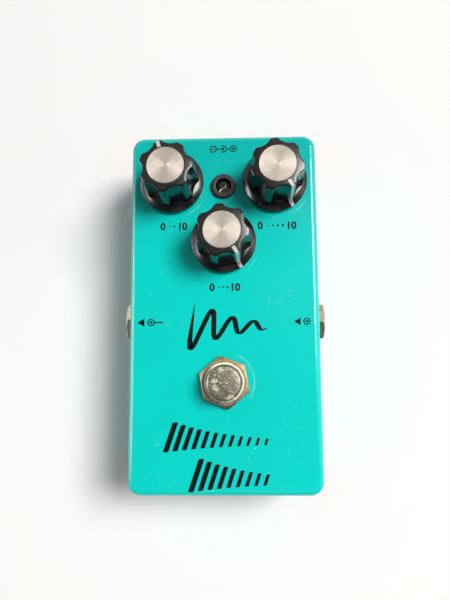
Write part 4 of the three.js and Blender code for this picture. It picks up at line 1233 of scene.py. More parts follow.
@dataclass
class ControlKnob:
    """A fluted skirted knob with its spun cap and white pointer. Its heights are above the panel."""

    name: str
    body: Body
    place: Pair
    pointer_deg: float
    panel: float = PANEL
    flutes: int = 7
    steps_per_flute: int = 26
    height: float = 16.1
    gap: float = 0.8
    skirt_radius: float = 10.0
    skirt_rim: float = 1.35
    skirt_rise: float = 0.95
    skirt_swell: float = 0.14
    lobe_low: float = 8.6
    lobe_high: float = 7.85
    flute_low: float = 7.15
    flute_high: float = 6.75
    runout: float = 0.9
    lobe_half_deg: float = 8.0
    crown: tuple[Pair, ...] = ((0.22, 0.0), (0.1, 0.04), (0.03, 0.12), (0.0, 0.24))
    crown_slope: float = 0.167
    seat_radius: float = 5.6
    cap_radius: float = 5.45
    cap_proud: float = 0.2
    cap_thickness: float = 0.75
    groove_pitch: float = 0.2
    groove_depth: float = 0.025
    strip_width: float = 1.05
    strip_proud: float = 0.05
    strip_lift: float = 0.035
    insert_bore: float = 4.55
    insert_top: float = 12.85
    recess: float = 6.17
    recess_top: float = 4.1
    grub_bore: float = 1.65
    grub_foot: float = 3.4
    grub_height: float = 6.8
    grub_turn_deg: float = 38.0

    def outline(self, turn: float, lobe: float, flute: float) -> float:
        """The grip's radius in one direction.

        Args:
            turn: The direction, as an angle from the pointer.
            lobe: The radius of the lobes.
            flute: The radius at the bottom of the flutes.

        Returns:
            The radius there.
        """
        pitch = TURN / self.flutes
        half = math.radians(self.lobe_half_deg)
        from_flute = abs((turn % pitch) - pitch / 2)
        span = pitch / 2 - half
        if from_flute >= span:
            return lobe
        chord = lobe * math.cos(span) - flute
        centre = (lobe ** 2 - flute ** 2) / (2 * chord)
        hollow = centre - flute
        return centre * math.cos(from_flute) - math.sqrt(hollow ** 2 - (centre * math.sin(from_flute)) ** 2)

    def grip(self) -> Solid:
        """Raises the fluted grip from the skirt, ring by ring.

        Returns:
            The grip.
        """
        rim_top = self.gap + self.skirt_rim
        skirt_top = rim_top + self.skirt_rise
        flare = (self.lobe_low - self.flute_low) / 2
        levels = [(rim_top - 0.4, 0, flare), (rim_top, 0, flare)]
        levels += [(skirt_top + self.runout * share, 0, flare / 2 * (1 - share) ** 2)
                   for share in (0, 0.35, 0.7, 1)]
        sides = len(levels)
        levels += [(self.height - drop, inset, 0) for drop, inset in self.crown]
        levels += [(self.height, self.crown[-1][1], 0)] * 3
        inward = [0.0] * (len(levels) - 3) + [0.35, 0.7, 1.0]
        made = Solid()
        steps = self.flutes * self.steps_per_flute
        ring = bmesh.ops.create_circle(made.mesh, cap_ends=False, segments=steps, radius=1)["verts"]
        loops = []
        for level, (height, inset, wider) in enumerate(levels):
            if level:
                raised = bmesh.ops.extrude_edge_only(made.mesh, edges=loops[-1])["geom"]
                ring = [item for item in raised if isinstance(item, bmesh.types.BMVert)]
            corners = set(ring)
            loops.append([edge for edge in made.mesh.edges if corners.issuperset(edge.verts)])
            share = max(0.0, (height - skirt_top) / (self.height - skirt_top))
            lobe = self.lobe_low + (self.lobe_high - self.lobe_low) * share - inset
            flute = self.flute_low + (self.flute_high - self.flute_low) * share - inset + wider
            for corner in ring:
                turn = math.atan2(corner.co.y, corner.co.x)
                radius = self.outline(turn, lobe, flute)
                radius += (self.cap_radius - 0.1 - radius) * inward[level]
                fall = self.crown_slope * max(0.0, radius - self.seat_radius) if level >= sides else 0.0
                corner.co = (radius * math.cos(turn), radius * math.sin(turn), height - fall)
        for loop in (loops[0], loops[-1]):
            bmesh.ops.edgeloop_fill(made.mesh, edges=loop)
        return made.outward()

    def skirt(self) -> Solid:
        """Turns the round skirt.

        Returns:
            The skirt, with its sloped and slightly swollen top.
        """
        rim_top, steps = self.gap + self.skirt_rim, 8
        round_low = circle_arc((self.skirt_radius - 0.3, self.gap + 0.3), 0.3, -90, 0, 4)
        round_high = circle_arc((self.skirt_radius - 0.35, rim_top - 0.35), 0.35, 0, 70, 5)
        profile = [(0, self.gap), *round_low, *round_high]
        start, width = round_high[-1], round_high[-1][0] - self.flute_low
        rise = rim_top + self.skirt_rise - start[1]
        for step in range(1, steps + 1):
            share = step / steps
            swell = self.skirt_swell * math.sin(math.pi * share)
            profile.append((start[0] - width * share, start[1] + rise * share + swell))
        return Solid.turned([*profile, (0, rim_top + self.skirt_rise)], 120)

    def moulding(self) -> Solid:
        """Moulds the knob.

        Returns:
            The knob with its cap seat, its hollow underside and the hole for the set screw.
        """
        knob = self.skirt().fused(self.grip())
        knob.cut(Solid.bar(self.seat_radius, self.height - 0.6, self.height + 1, 96))
        for radius, top in ((self.insert_bore, self.insert_top), (self.recess, self.recess_top)):
            knob.cut(Solid.bar(radius, -1, top, 48))
        sideways = Matrix.Translation((0, 0, self.grub_height)) @ Matrix.Rotation(TURN / 4, 4, "Y")
        hole = Solid.bar(self.grub_bore, self.grub_foot, self.skirt_radius + 1, 32).placed(sideways)
        return knob.cut(hole.moved(turn_deg=self.grub_turn_deg))

    def cap(self) -> Solid:
        """Turns the spun disc.

        Returns:
            The disc, with its real grooves and a bright bevelled rim.
        """
        high = self.height + self.cap_proud
        low = high - self.cap_thickness
        rim = self.cap_radius - 0.2
        profile = [(0, low), (self.cap_radius, low), (self.cap_radius, high - 0.16), (rim, high)]
        count = int((rim - 0.15) / self.groove_pitch * 2)
        for step in range(count):
            depth = self.groove_depth * (step % 2)
            profile.append((rim - 0.05 - step * self.groove_pitch / 2, high - depth))
        return Solid.turned([*profile, (0, high)], 96)

    def pointer(self) -> Solid:
        """Lays the inlaid white pointer across the top, down the lobe and over the skirt.

        Returns:
            The pointer, hollow along its middle.
        """
        rim_top, slope_start = self.gap + self.skirt_rim, self.skirt_radius - 0.3
        foot = rim_top + (slope_start - self.lobe_low) / (slope_start - self.flute_low) * self.skirt_rise
        crown = [(self.seat_radius + 0.13, 0.0)]
        crown += [(self.lobe_high - inset, drop) for drop, inset in reversed(self.crown)]
        path = [(out, self.height - drop - self.crown_slope * (out - self.seat_radius))
                for out, drop in crown]
        path += [(self.lobe_high + 0.24, self.height - 4.5), (self.lobe_low - 0.22, self.height - 9)]
        path += [(self.lobe_low, foot + 0.16), (self.lobe_low + 0.16, foot)]
        path += [(self.skirt_radius - 0.32, rim_top + 0.01), (self.skirt_radius - 0.08, rim_top - 0.14)]
        path += [(self.skirt_radius, rim_top - 0.42), (self.skirt_radius, self.gap + 0.3)]
        made = Solid()
        half = self.strip_width / 2
        row = [made.mesh.verts.new((0, half * share, 0)) for share in (-1, -0.82, -0.45, 0, 0.45, 0.82, 1)]
        edges = [made.mesh.edges.new(pair) for pair in zip(row, row[1:])]
        lift = {corner.co.y: self.strip_lift * (abs(corner.co.y) / half) ** 2 for corner in row}
        for index, (out, height) in enumerate(path):
            if index:
                drawn = bmesh.ops.extrude_edge_only(made.mesh, edges=edges)["geom"]
                row = [item for item in drawn if isinstance(item, bmesh.types.BMVert)]
                corners = set(row)
                edges = [item for item in drawn if isinstance(item, bmesh.types.BMEdge)
                         and corners.issuperset(item.verts)]
            before, after = path[max(index - 1, 0)], path[min(index + 1, len(path) - 1)]
            along = Vector((after[0] - before[0], 0, after[1] - before[1])).normalized()
            outward = Vector((-along.z, 0, along.x))
            for corner in row:
                rise = self.strip_proud + lift[min(lift, key=lambda y: abs(y - corner.co.y))]
                corner.co = Vector((out, corner.co.y, height)) + outward * rise
        bmesh.ops.recalc_face_normals(made.mesh, faces=made.mesh.faces[:])
        bmesh.ops.solidify(made.mesh, geom=made.mesh.faces[:], thickness=0.12)
        return made.outward()

    def build(self) -> None:
        """Builds the knob, its cap and its pointer, turned as they stand."""
        for solid, name, finish, nodes, sharp_deg, even in (
            (self.moulding(), "grip", GLOSS_BLACK, [f"{self.name}_knob"], 24, True),
            (self.cap(), "disc", SPUN[self.place], [f"{self.name}_knob_cap"], 8, False),
            (self.pointer(), "pointer", POINTER, [], 32, False),
        ):
            solid.moved(*self.place, self.panel, self.pointer_deg)
            solid.piece(f"{self.name}_{name}", finish, self.body, nodes, sharp_deg, even)


@dataclass
class Indicator:
    """The unlit LED and its bezel, set into the panel. Heights are above the panel."""

    panel: float = PANEL
    flange: float = 3.9
    height: float = 1.3
    aperture: float = 2.37
    lip: float = 0.5
    bore: float = 2.65
    tube: float = 3.25
    tube_length: float = 5.4
    shoulder: float = 0.5
    mouth_edge: float = 0.16
    lens: float = 2.5
    lens_top: float = 1.0
    lens_length: float = 8.6
    lens_flange: float = 2.9
    cup: tuple[Pair, ...] = ((0, -3.4), (0.85, -3.4), (0.95, -2.5), (0.7, -2.5), (0.35, -2.8), (0, -2.8))
    lead: float = 0.5
    lead_spread: float = 1.27
    lead_top: float = -3.3
    lead_foot: float = -10.9

    def build(self) -> None:
        """Builds the bezel, the lens and the frame inside it."""
        base, edge = self.height - self.shoulder + 0.05, self.mouth_edge
        profile = [(self.bore, -self.tube_length), (self.tube, -self.tube_length), (self.tube, 0)]
        profile += [(self.flange - 0.05, 0), (self.flange, 0.08), (self.flange, base - 0.1)]
        profile += circle_arc((self.flange - self.shoulder, base - 0.05), self.shoulder, 5, 85, 7)
        profile += circle_arc((self.aperture + edge, self.height - edge), edge, 90, 180, 4)
        profile += [(self.aperture, self.height - self.lip), (self.bore, self.height - self.lip)]
        low, flange = self.lens_top - self.lens_length, self.lens_flange
        lens = [(0, low), (flange - 0.05, low), (flange, low + 0.05), (flange, low + 1), (self.lens, low + 1)]
        lens += circle_arc((0, self.lens_top - self.lens), self.lens, 0, 90, 14)
        post = Solid.block(0.9, self.lead, self.lead_top - 0.3, self.lead_top + 0.6)
        cup = Solid.turned(self.cup, 24).moved(0.15, -0.4).beside(post.moved(-0.9, -0.7))
        for x in (-self.lead_spread, self.lead_spread):
            cup.beside(Solid.block(self.lead, self.lead, self.lead_foot, self.lead_top).moved(x))
        for solid, name, finish, node in (
            (Solid.turned(profile, 72, closed=True), "bezel", SATIN_BLACK, "led_bezel"),
            (Solid.turned(lens, 48), "lens", RESIN, "led"), (cup, "leads", LEAD_FRAME, "led"),
        ):
            solid.moved(*LED_PLACE, self.panel).piece(f"indicator_{name}", finish, Body.PEDAL, [node])


@dataclass
class Footswitch:
    """The footswitch: worn button, hex nut, threaded bushing, bracket and moulded body with its lugs."""

    panel: float = PANEL
    bushing: float = 6.0
    pitch: float = 0.6
    thread_depth: float = 0.16
    clearance: float = 0.15
    bore: float = 5.4
    above: float = 3.2
    seat: float = -6.8
    bracket: float = 1.0
    pocket: float = 2.0
    body: float = 17.0
    body_height: float = 11.0
    button: float = 5.15
    button_top: float = 8.5
    crown: float = 0.75
    stem: float = 2.0
    stem_tip: float = -12.0
    stem_bore_foot: float = -14.7
    shoulder: float = -2.8
    travel: float = 2.55
    wire: float = 0.35
    wire_sides: int = 8
    coil_radius: float = 3.4
    turns: int = 4
    steps_per_turn: int = 24
    lug_pitch: float = 5.0
    lug_length: float = 3.4
    nut_flats: float = 14.0
    nut_height: float = 2.3
    nut_turn_deg: float = 39.4

    def put(self, solid: Solid, name: str, finish: Finish, node: str,
            body: Body = Body.PEDAL) -> bpy.types.Object:
        """Sets a solid down on the switch's axis and finishes it.

        Args:
            solid: The solid, with heights from the panel.
            name: The piece's name.
            finish: Its finish.
            node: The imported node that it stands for.
            body: The body that it rides on.

        Returns:
            The piece's object.
        """
        return solid.moved(*SWITCH_PLACE, self.panel).piece(name, finish, body, [node])

    def build(self) -> None:
        """Builds the footswitch."""
        self.bush()
        self.put(self.button_solid(), "switch_button", BUTTON_CHROME, "footswitch_button", Body.PLUNGER)
        self.house()
        self.spring()

    def bush(self) -> None:
        """Makes the nut and the threaded bushing."""
        nut = HexNut(self.nut_flats, self.bushing + self.clearance, 0, self.nut_height, mouth=0.03)
        self.put(nut.solid().moved(turn_deg=self.nut_turn_deg), "switch_nut", NUT_CHROME, "footswitch_nut")
        top, low, edge = self.above, self.seat - 0.1, 0.1
        bore = self.bore - self.clearance
        sleeve = [(bore, low), (self.bushing - 0.2, low)]
        sleeve += thread_profile(self.bushing, self.seat + 0.1, top - 0.35, self.pitch, self.thread_depth)
        sleeve += circle_arc((self.bushing - edge, top - edge), edge, 0, 90, 5)
        sleeve += circle_arc((bore + edge, top - edge), edge, 90, 180, 4)
        self.put(Solid.turned(sleeve, 96, closed=True), "switch_bushing", THREAD_CHROME, "footswitch_body")

    def house(self) -> None:
        """Makes the bracket and the moulded body with its nine lugs."""
        body_top = self.seat - self.bracket
        plate = Solid.block(self.body, self.body, body_top, self.seat, 0.4, 3)
        plate.cut(Solid.bar(self.bore, body_top - 1, self.seat + 1, 48))
        self.put(plate, "switch_bracket", STEEL, "footswitch_body")
        body_low = body_top - self.body_height
        shell = Solid.block(self.body - 0.1, self.body - 0.1, body_low, body_top, 1.0, 5)
        shell.rounded(shell.level_edges(body_low), 0.4, 3)
        shell.cut(Solid.bar(self.bore, self.seat - self.pocket, body_top + 1, 48))
        shell.cut(Solid.bar(self.stem + 0.2, self.stem_bore_foot, 0, 32))
        self.put(shell, "switch_shell", BLUE_SHELL, "footswitch_body")
        rows = (-self.lug_pitch, 0, self.lug_pitch)
        lugs = solder_lugs(body_low, self.lug_length, [(x, y) for x in rows for y in rows])
        lugs.rounded(lugs.level_edges(body_low - self.lug_length), 0.2, 2)
        self.put(lugs, "switch_lugs", NICKEL, "footswitch_body")

    def spring(self) -> None:
        """Winds the return spring."""
        low = self.seat - self.pocket + self.wire + 0.05
        high = self.shoulder - self.wire - 0.05
        steps = self.turns * self.steps_per_turn
        upright = Matrix.Rotation(TURN / 4, 4, "X")
        coil = Solid()
        rings = []
        for step in range(steps + 1):
            turn = Matrix.Rotation(step * TURN / self.steps_per_turn, 4, "Z")
            out = Matrix.Translation((self.coil_radius, 0, low + (high - low) * step / steps))
            ring = bmesh.ops.create_circle(coil.mesh, segments=self.wire_sides, radius=self.wire,
                                           matrix=turn @ out @ upright, cap_ends=step in (0, steps))
            rings.append(ring["verts"])
        for first, second in zip(rings, rings[1:]):
            for at in range(self.wire_sides):
                coil.mesh.faces.new((first[at - 1], first[at], second[at], second[at - 1]))
        made = self.put(coil.outward(), "switch_spring", NICKEL, "footswitch_spring")
        foot = (*(part * METRES for part in SWITCH_PLACE), (self.panel + low - self.wire) * METRES)
        length = high - low + 2 * self.wire
        (length - self.travel) / length
        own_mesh(made)

    def button_solid(self) -> Solid:
        """Turns the push button.

        Returns:
            The button on its stem, with a rounded and slightly crowned top.
        """
        tip, shoulder, top = self.stem_tip, self.shoulder, self.button_top
        profile = [(0, tip), (self.stem - 0.2, tip), (self.stem, tip + 0.2), (self.stem, shoulder)]
        profile += [(self.button - 0.1, shoulder), (self.button, shoulder + 0.1)]
        profile += circle_arc((self.button - self.crown, top - 0.1 - self.crown), self.crown, 0, 84, 9)
        return Solid.turned([*profile, (3.0, top - 0.035), (1.5, top - 0.01), (0, top)], 96)


@dataclass
class SideJack:
    """A side jack: washer, hex nut, threaded bushing and moulded body. Local +Z points out of the wall."""

    name: str
    place: Matrix
    nut_turn_deg: float
    bushing: float = 4.5
    pitch: float = 0.75
    thread_depth: float = 0.2
    bore: float = 3.3
    nut_flats: float = 11.0
    nut_height: float = 1.8
    washer: float = 6.3
    washer_thickness: float = 0.6
    seat: float = 0.05
    depth: float = 14.0
    width: float = 15.5
    length: float = 20.0
    wall: float = 2.35
    lug_length: float = 3.0
    lug_inset: float = 1.6
    lug_pitch: float = 5.0

    def put(self, solid: Solid, name: str, finish: Finish, node: str) -> None:
        """Sets a solid into the wall and finishes it."""
        solid.placed(self.place).piece(f"{self.name}_{name}", finish, Body.PEDAL, [f"{self.name}_{node}"])

    def build(self) -> None:
        """Builds the jack."""
        top = self.seat + self.washer_thickness
        hole = self.bushing + 0.15
        self.put(flat_ring(self.washer, hole, self.seat, top, 0.12), "washer", NICKEL, "jack_washer")
        nut = HexNut(self.nut_flats, hole, top, top + self.nut_height).solid()
        self.put(nut.moved(turn_deg=self.nut_turn_deg), "nut", NICKEL, "jack_nut")
        end = top + self.nut_height - 0.2
        sleeve = [(self.bore, -self.wall), (self.bushing - 0.2, -self.wall)]
        sleeve += thread_profile(self.bushing, -self.wall + 0.1, end - 0.25, self.pitch, self.thread_depth)
        sleeve += [(self.bushing - 0.25, end), (self.bore + 0.5, end), (self.bore, end - 0.5)]
        self.put(Solid.turned(sleeve, 72, closed=True), "bushing", NICKEL, "jack")
        back = -self.wall - self.length
        shell = Solid.block(self.depth, self.width, back, -self.wall, 1.2, 5)
        shell.rounded(shell.level_edges(back), 0.5, 3)
        shell.cut(Solid.bar(self.bore, back - 1, 0, 48))
        self.put(shell, "socket_body", SATIN_BLACK, "jack")
        x, y = self.depth / 2 - self.lug_inset, self.lug_pitch
        lugs = solder_lugs(back, self.lug_length, [(-x, -y), (x, 0), (-x, y)], lengthwise=True)
        self.put(lugs, "lugs", NICKEL, "jack")


@dataclass
class PowerJack:
    """The flanged power jack in the back wall, with its contact pin. Local +Z points out of the wall."""

    place: Matrix
    flange: float = 7.0
    thickness: float = 1.8
    barrel: float = 6.0
    back: float = -13.5
    socket: float = 3.15
    socket_depth: float = 9.5
    pin: float = 1.05
    pin_tip: float = 0.6
    pin_length: float = 8.0
    rim: float = 0.5
    mouth: float = 0.3
    lug_length: float = 3.4
    lug_spread: float = 2.5

    def build(self) -> None:
        """Builds the jack."""
        floor = self.thickness - self.socket_depth
        profile = [(0, self.back), (self.barrel - 0.2, self.back), (self.barrel, self.back + 0.2)]
        profile += [(self.barrel, 0.05), (self.flange, 0.05)]
        rim, mouth = self.rim, self.mouth
        profile += circle_arc((self.flange - rim, self.thickness - rim), rim, 0, 90, 6)
        profile += circle_arc((self.socket + mouth, self.thickness - mouth), mouth, 90, 180, 5)
        seat, root = self.pin + 0.15, floor - 1.5
        profile += [(self.socket, floor), (seat, floor), (seat, root), (0, root)]
        places = [(-self.lug_spread, 0), (self.lug_spread, 0)]
        shell = Solid.turned(profile, 72).beside(solder_lugs(self.back, self.lug_length, places))
        shell.placed(self.place).piece("power_socket", SATIN_BLACK, Body.PEDAL, ["power_jack"])
        tip, edge = floor + self.pin_length, self.pin_tip
        pin = [(0, root + 0.05), (self.pin, root + 0.05), (self.pin, tip - edge)]
        pin += circle_arc((self.pin - edge, tip - edge), edge, 0, 90, 5) + [(0, tip)]
        contact = Solid.turned(pin, 32).placed(self.place)
        contact.piece("power_contact", NICKEL, Body.PEDAL, ["power_jack_pin"])


@dataclass
class PanelMarks:
    """Printed marks on the panel: dial numbers, arrows, socket and polarity signs, and a fading echo."""

    panel: float = PANEL
    film: float = 0.03
    middle_y: float = MIDDLE_Y
    dial_rows: tuple[tuple[float, float, float, float], ...] = (
        (-19.9, -11.5, 24.95, 2.35), (10.6, 22.7, 24.8, 2.45), (-4.5, 4.95, 5.5, 2.4))
    dot_pitch: float = 1.5
    socket_y: float = -4.05
    polarity_y: float = 51.25
    line: float = 0.3
    wave_ends: Pair = (-11.2, 13.3)
    wave_y: float = -5.4
    wave_swing: float = 8.6
    wave_decay: float = 2.15
    wave_turns: float = 3.6
    wave_lean: float = 0.28
    stroke: float = 0.78
    echo_rows: tuple[tuple[float, float, int, float], ...] = ((-16.3, -38.4, 12, 8.8), (-8.6, -49.4, 9, 9.6))
    echo_pitch: float = 2.6
    echo_fade: float = 0.87

    def film_piece(self, name: str, solid: Solid) -> None:
        """Lays a flat print on the panel.

        Args:
            name: The piece's name.
            solid: The print as flat faces at height 0, placed in the case's frame.
        """
        bmesh.ops.recalc_face_normals(solid.mesh, faces=solid.mesh.faces[:])
        for face in solid.mesh.faces:
            if face.normal.z < 0:
                face.normal_flip()
        bmesh.ops.solidify(solid.mesh, geom=solid.mesh.faces[:], thickness=self.film)
        heights = [vertex.co.z for vertex in solid.mesh.verts]
        solid.moved(0, self.middle_y, self.panel - 0.005 - min(heights))
        solid.outward().piece(name, INK, Body.PEDAL, even=False)

    @staticmethod
    def disc(radius: float, steps: int = 32) -> Solid:
        """A flat disc.

        Args:
            radius: Its radius.
            steps: How many steps go round.

        Returns:
            The disc.
        """
        made = Solid()
        bmesh.ops.create_circle(made.mesh, cap_ends=True, segments=steps, radius=radius)
        return made

    @staticmethod
    def ring(outer: float, inner: float) -> Solid:
        """A flat ring, from its outer and inner radius."""
        return Solid.turned([(inner, 0), (outer, 0)], 40)

    @staticmethod
    def dash(width: float, height: float, corner: float = 0.0, lean: float = 0.0) -> Solid:
        """A flat bar that may have round corners and lean forward.

        Args:
            width: Its size along X.
            height: Its size along Y.
            corner: The radius of its corners.
            lean: How far its top leans, as a share of its height.

        Returns:
            The bar, centred.
        """
        made = Solid()
        bmesh.ops.create_grid(made.mesh, x_segments=1, y_segments=1, size=0.5,
                              matrix=Matrix.Diagonal((width, height, 1, 1)))
        if corner:
            bmesh.ops.bevel(made.mesh, geom=made.mesh.verts[:], offset=corner, offset_type="OFFSET",
                            segments=5, profile=0.5, affect="VERTICES", clamp_overlap=True, material=-1)
        for vertex in made.mesh.verts:
            vertex.co.x += vertex.co.y * lean
        return made

    @staticmethod
    def number(text: str, height: float) -> Solid:
        """A printed number.

        Args:
            text: Its digits.
            height: Their height.

        Returns:
            The number, starting at the origin.
        """
        curve = bpy.data.curves.new("number", "FONT")
        curve.body, curve.size, curve.offset = text, 1, 0.034
        loose = stand("number", curve)
        data = settled_mesh(loose)
        made = Solid()
        made.mesh.from_mesh(data)
        bpy.data.objects.remove(loose)
        bpy.data.meshes.remove(data)
        bmesh.ops.remove_doubles(made.mesh, verts=made.mesh.verts[:], dist=1e-4)
        left, foot = (min(vertex.co[axis] for vertex in made.mesh.verts) for axis in (0, 1))
        scale = height / (max(vertex.co.y for vertex in made.mesh.verts) - foot)
        return made.placed(Matrix.Scale(scale, 4) @ Matrix.Translation((-left, -foot, 0)))

    def dial_row(self, low: float, high: float, y: float, height: float) -> Solid:
        """A small 0, a run of dots that grow, and a 10, between two places.

        Args:
            low: Where the row starts.
            high: Where it ends.
            y: The row's foot.
            height: The height of its digits.

        Returns:
            The row.
        """
        first, last = self.number("0", height), self.number("10", height)
        first_width = max(vertex.co.x for vertex in first.mesh.verts)
        last_width = max(vertex.co.x for vertex in last.mesh.verts)
        row = first.moved(low, y).beside(last.moved(high - last_width, y))
        start, end = low + first_width, high - last_width
        count = max(2, round((end - start) / self.dot_pitch) - 1)
        for dot in range(count):
            x = start + (end - start) * (dot + 1) / (count + 1)
            row.beside(self.disc(0.22 + 0.2 * dot / count, 20).moved(x, y + height / 2))
        return row

    def dials(self) -> None:
        """Prints a dial row under each of the three knobs."""
        self.film_piece("dial_numbers", Solid().beside(*(self.dial_row(*row) for row in self.dial_rows)))

    @staticmethod
    def arrow(x: float, y: float, size: float) -> Solid:
        """A solid arrow head that points left.

        Args:
            x: Its middle along X.
            y: Its middle along Y.
            size: Its length from tip to back.

        Returns:
            The arrow head.
        """
        made = Solid()
        bmesh.ops.create_circle(made.mesh, cap_ends=True, segments=3, radius=size / 1.5,
                                matrix=Matrix.Rotation(TURN / 4, 4, "Z"))
        return made.moved(x, y)

    def sockets(self) -> None:
        """Prints the arrows and socket signs beside the two side jacks."""
        y = self.socket_y
        lead = self.dash(2.6, 0.42, 0.2).moved(2.45)
        left = self.ring(1.15, 0.78).beside(self.disc(0.42), lead).moved(-22.5, y)
        right = self.ring(1.1, 0.75).beside(self.disc(0.4)).moved(25.2, y)
        signs = self.arrow(-25.3, y, 2.2).beside(left, self.arrow(22.6, y, 2.0), right)
        self.film_piece("socket_signs", signs)

    def polarity(self) -> None:
        """Prints the centre-negative power sign at the back edge."""
        away, size, line, upright = 3.2, 1.15, self.line, 0.36
        sign = self.disc(0.42).beside(self.dash(1.75, line).moved(-1.2), self.dash(1.2, line).moved(1.5))
        for x in (-away, away):
            sign.beside(self.ring(size, size - line).moved(x), self.dash(1.1, line).moved(x))
        for rise in (upright, -upright):
            sign.beside(self.dash(line, upright).moved(away, rise))
        arc = Solid()
        bmesh.ops.create_grid(arc.mesh, x_segments=24, y_segments=1, size=1)
        for vertex in arc.mesh.verts:
            turn = math.radians(vertex.co.x * 125)
            radius = 1.02 + vertex.co.y * 0.16
            vertex.co = (radius * math.cos(turn), radius * math.sin(turn), 0)
        self.film_piece("polarity_sign", sign.beside(arc).moved(0, self.polarity_y))

    def wave(self) -> None:
        """Prints one brushed wave that dies away to the right."""
        made = Solid()
        bmesh.ops.create_grid(made.mesh, x_segments=260, y_segments=1, size=1)
        (low, high), step = self.wave_ends, 1e-3

        def centre(share: float) -> Vector:
            """The middle of the stroke at a share of its length."""
            swing = self.wave_swing * math.exp(-self.wave_decay * share)
            swing *= math.cos(TURN * self.wave_turns * share + 0.5)
            return Vector((low + (high - low) * share + swing * self.wave_lean, self.wave_y + swing, 0))

        for vertex in made.mesh.verts:
            share = (vertex.co.x + 1) / 2
            along = (centre(min(share + step, 1)) - centre(max(share - step, 0))).normalized()
            across = Vector((-along.y, along.x, 0))
            press = 0.5 + 0.5 * abs(along.y) ** 1.5
            taper = min(1, share * 14, (1 - share) * 9 + 0.15)
            vertex.co = centre(share) + across * (vertex.co.y * self.stroke * press * taper)
        self.film_piece("wave_mark", made)

    def echoes(self) -> None:
        """Prints two rows of leaning bars, each shorter and thinner than the one before."""
        rows = Solid()
        for x, y, count, tall in self.echo_rows:
            for bar in range(count):
                fade = self.echo_fade ** bar
                height = tall * fade
                mark = self.dash(1.7 * fade ** 0.5, height, 0.45 * fade, 0.34)
                rows.beside(mark.moved(x + bar * self.echo_pitch, y - (tall - height) * 0.2))
        self.film_piece("echo_marks", rows)

    def build(self) -> None:
        """Prints every mark."""
        for mark in (self.dials, self.sockets, self.polarity, self.wave, self.echoes):
            mark()


@dataclass(frozen=True)
class Innards:
    """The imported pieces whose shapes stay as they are, with the finish of each."""

    finishes: tuple[tuple[Finish, tuple[str, ...]], ...]

    def dress(self) -> None:
        """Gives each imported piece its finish."""
        for finish, nodes in self.finishes:
            for node in nodes:
                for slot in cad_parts[node].material_slots:
                    slot.material = finish.material()
            LOG.info("%s: %d packed pieces", finish.name, len(nodes))


CONTROLS = ("time", "repeat", "level")
INNARDS = Innards((
    (SATIN_BLACK, ("led_collar", "power_jack_nut")),
    (NICKEL, ("footswitch_lower_nut", "footswitch_lock_washer",
              *(f"{name}_{piece}" for name in CONTROLS for piece in ("pot_washer", "pot_nut", "pot_shaft")))),
    (STEEL, tuple(f"{name}_{piece}" for name in CONTROLS for piece in ("pot", "set_screw"))),
    (BRASS, tuple(f"{name}_knob_insert" for name in CONTROLS)),
    (BOARD, ("circuit_board",)),
    (CHIP_BLACK, ("delay_chip_1", "delay_chip_2", "compander_chip")),
    (SLEEVE, ("filter_capacitor_1", "filter_capacitor_2")),
))

OUTPUT_PLACE = three_axis_frame((-29.7314, -3.9146, 20.0), (0, -87.8, 180))
INPUT_PLACE = three_axis_frame((29.7314, -3.9146, 20.0), (0, 87.8, 0))
POWER_PLACE = three_axis_frame((0, 55.0319, 20.0), (-88.5, 0, 0))


# Studio -------------------------------------------------------------------------------------------------


@dataclass
class Softbox:
    """A soft light that points at the pedal."""

    name: str
    towards: Triple
    distance: float
    size: Pair
    level: float
    colour: Colour = (1.0, 1.0, 1.0)
    gleam_only: bool = False

    def build(self) -> None:
        """Hangs the light, with its level as what it adds to a white sheet that faces it."""
        data = bpy.data.lights.new(self.name, "AREA")
        data.shape, (data.size, data.size_y), data.color = "RECTANGLE", self.size, self.colour
        data.energy = self.level * math.pi ** 2 * self.distance ** 2
        lamp = stand(self.name, data)
        direction = Vector(self.towards).normalized()
        lamp.location = direction * self.distance + Vector((0, 0, 0.03))
        lamp.rotation_euler = direction.to_track_quat("Z", "Y").to_euler()
        lamp.visible_camera = False
        lamp.visible_diffuse = not self.gleam_only


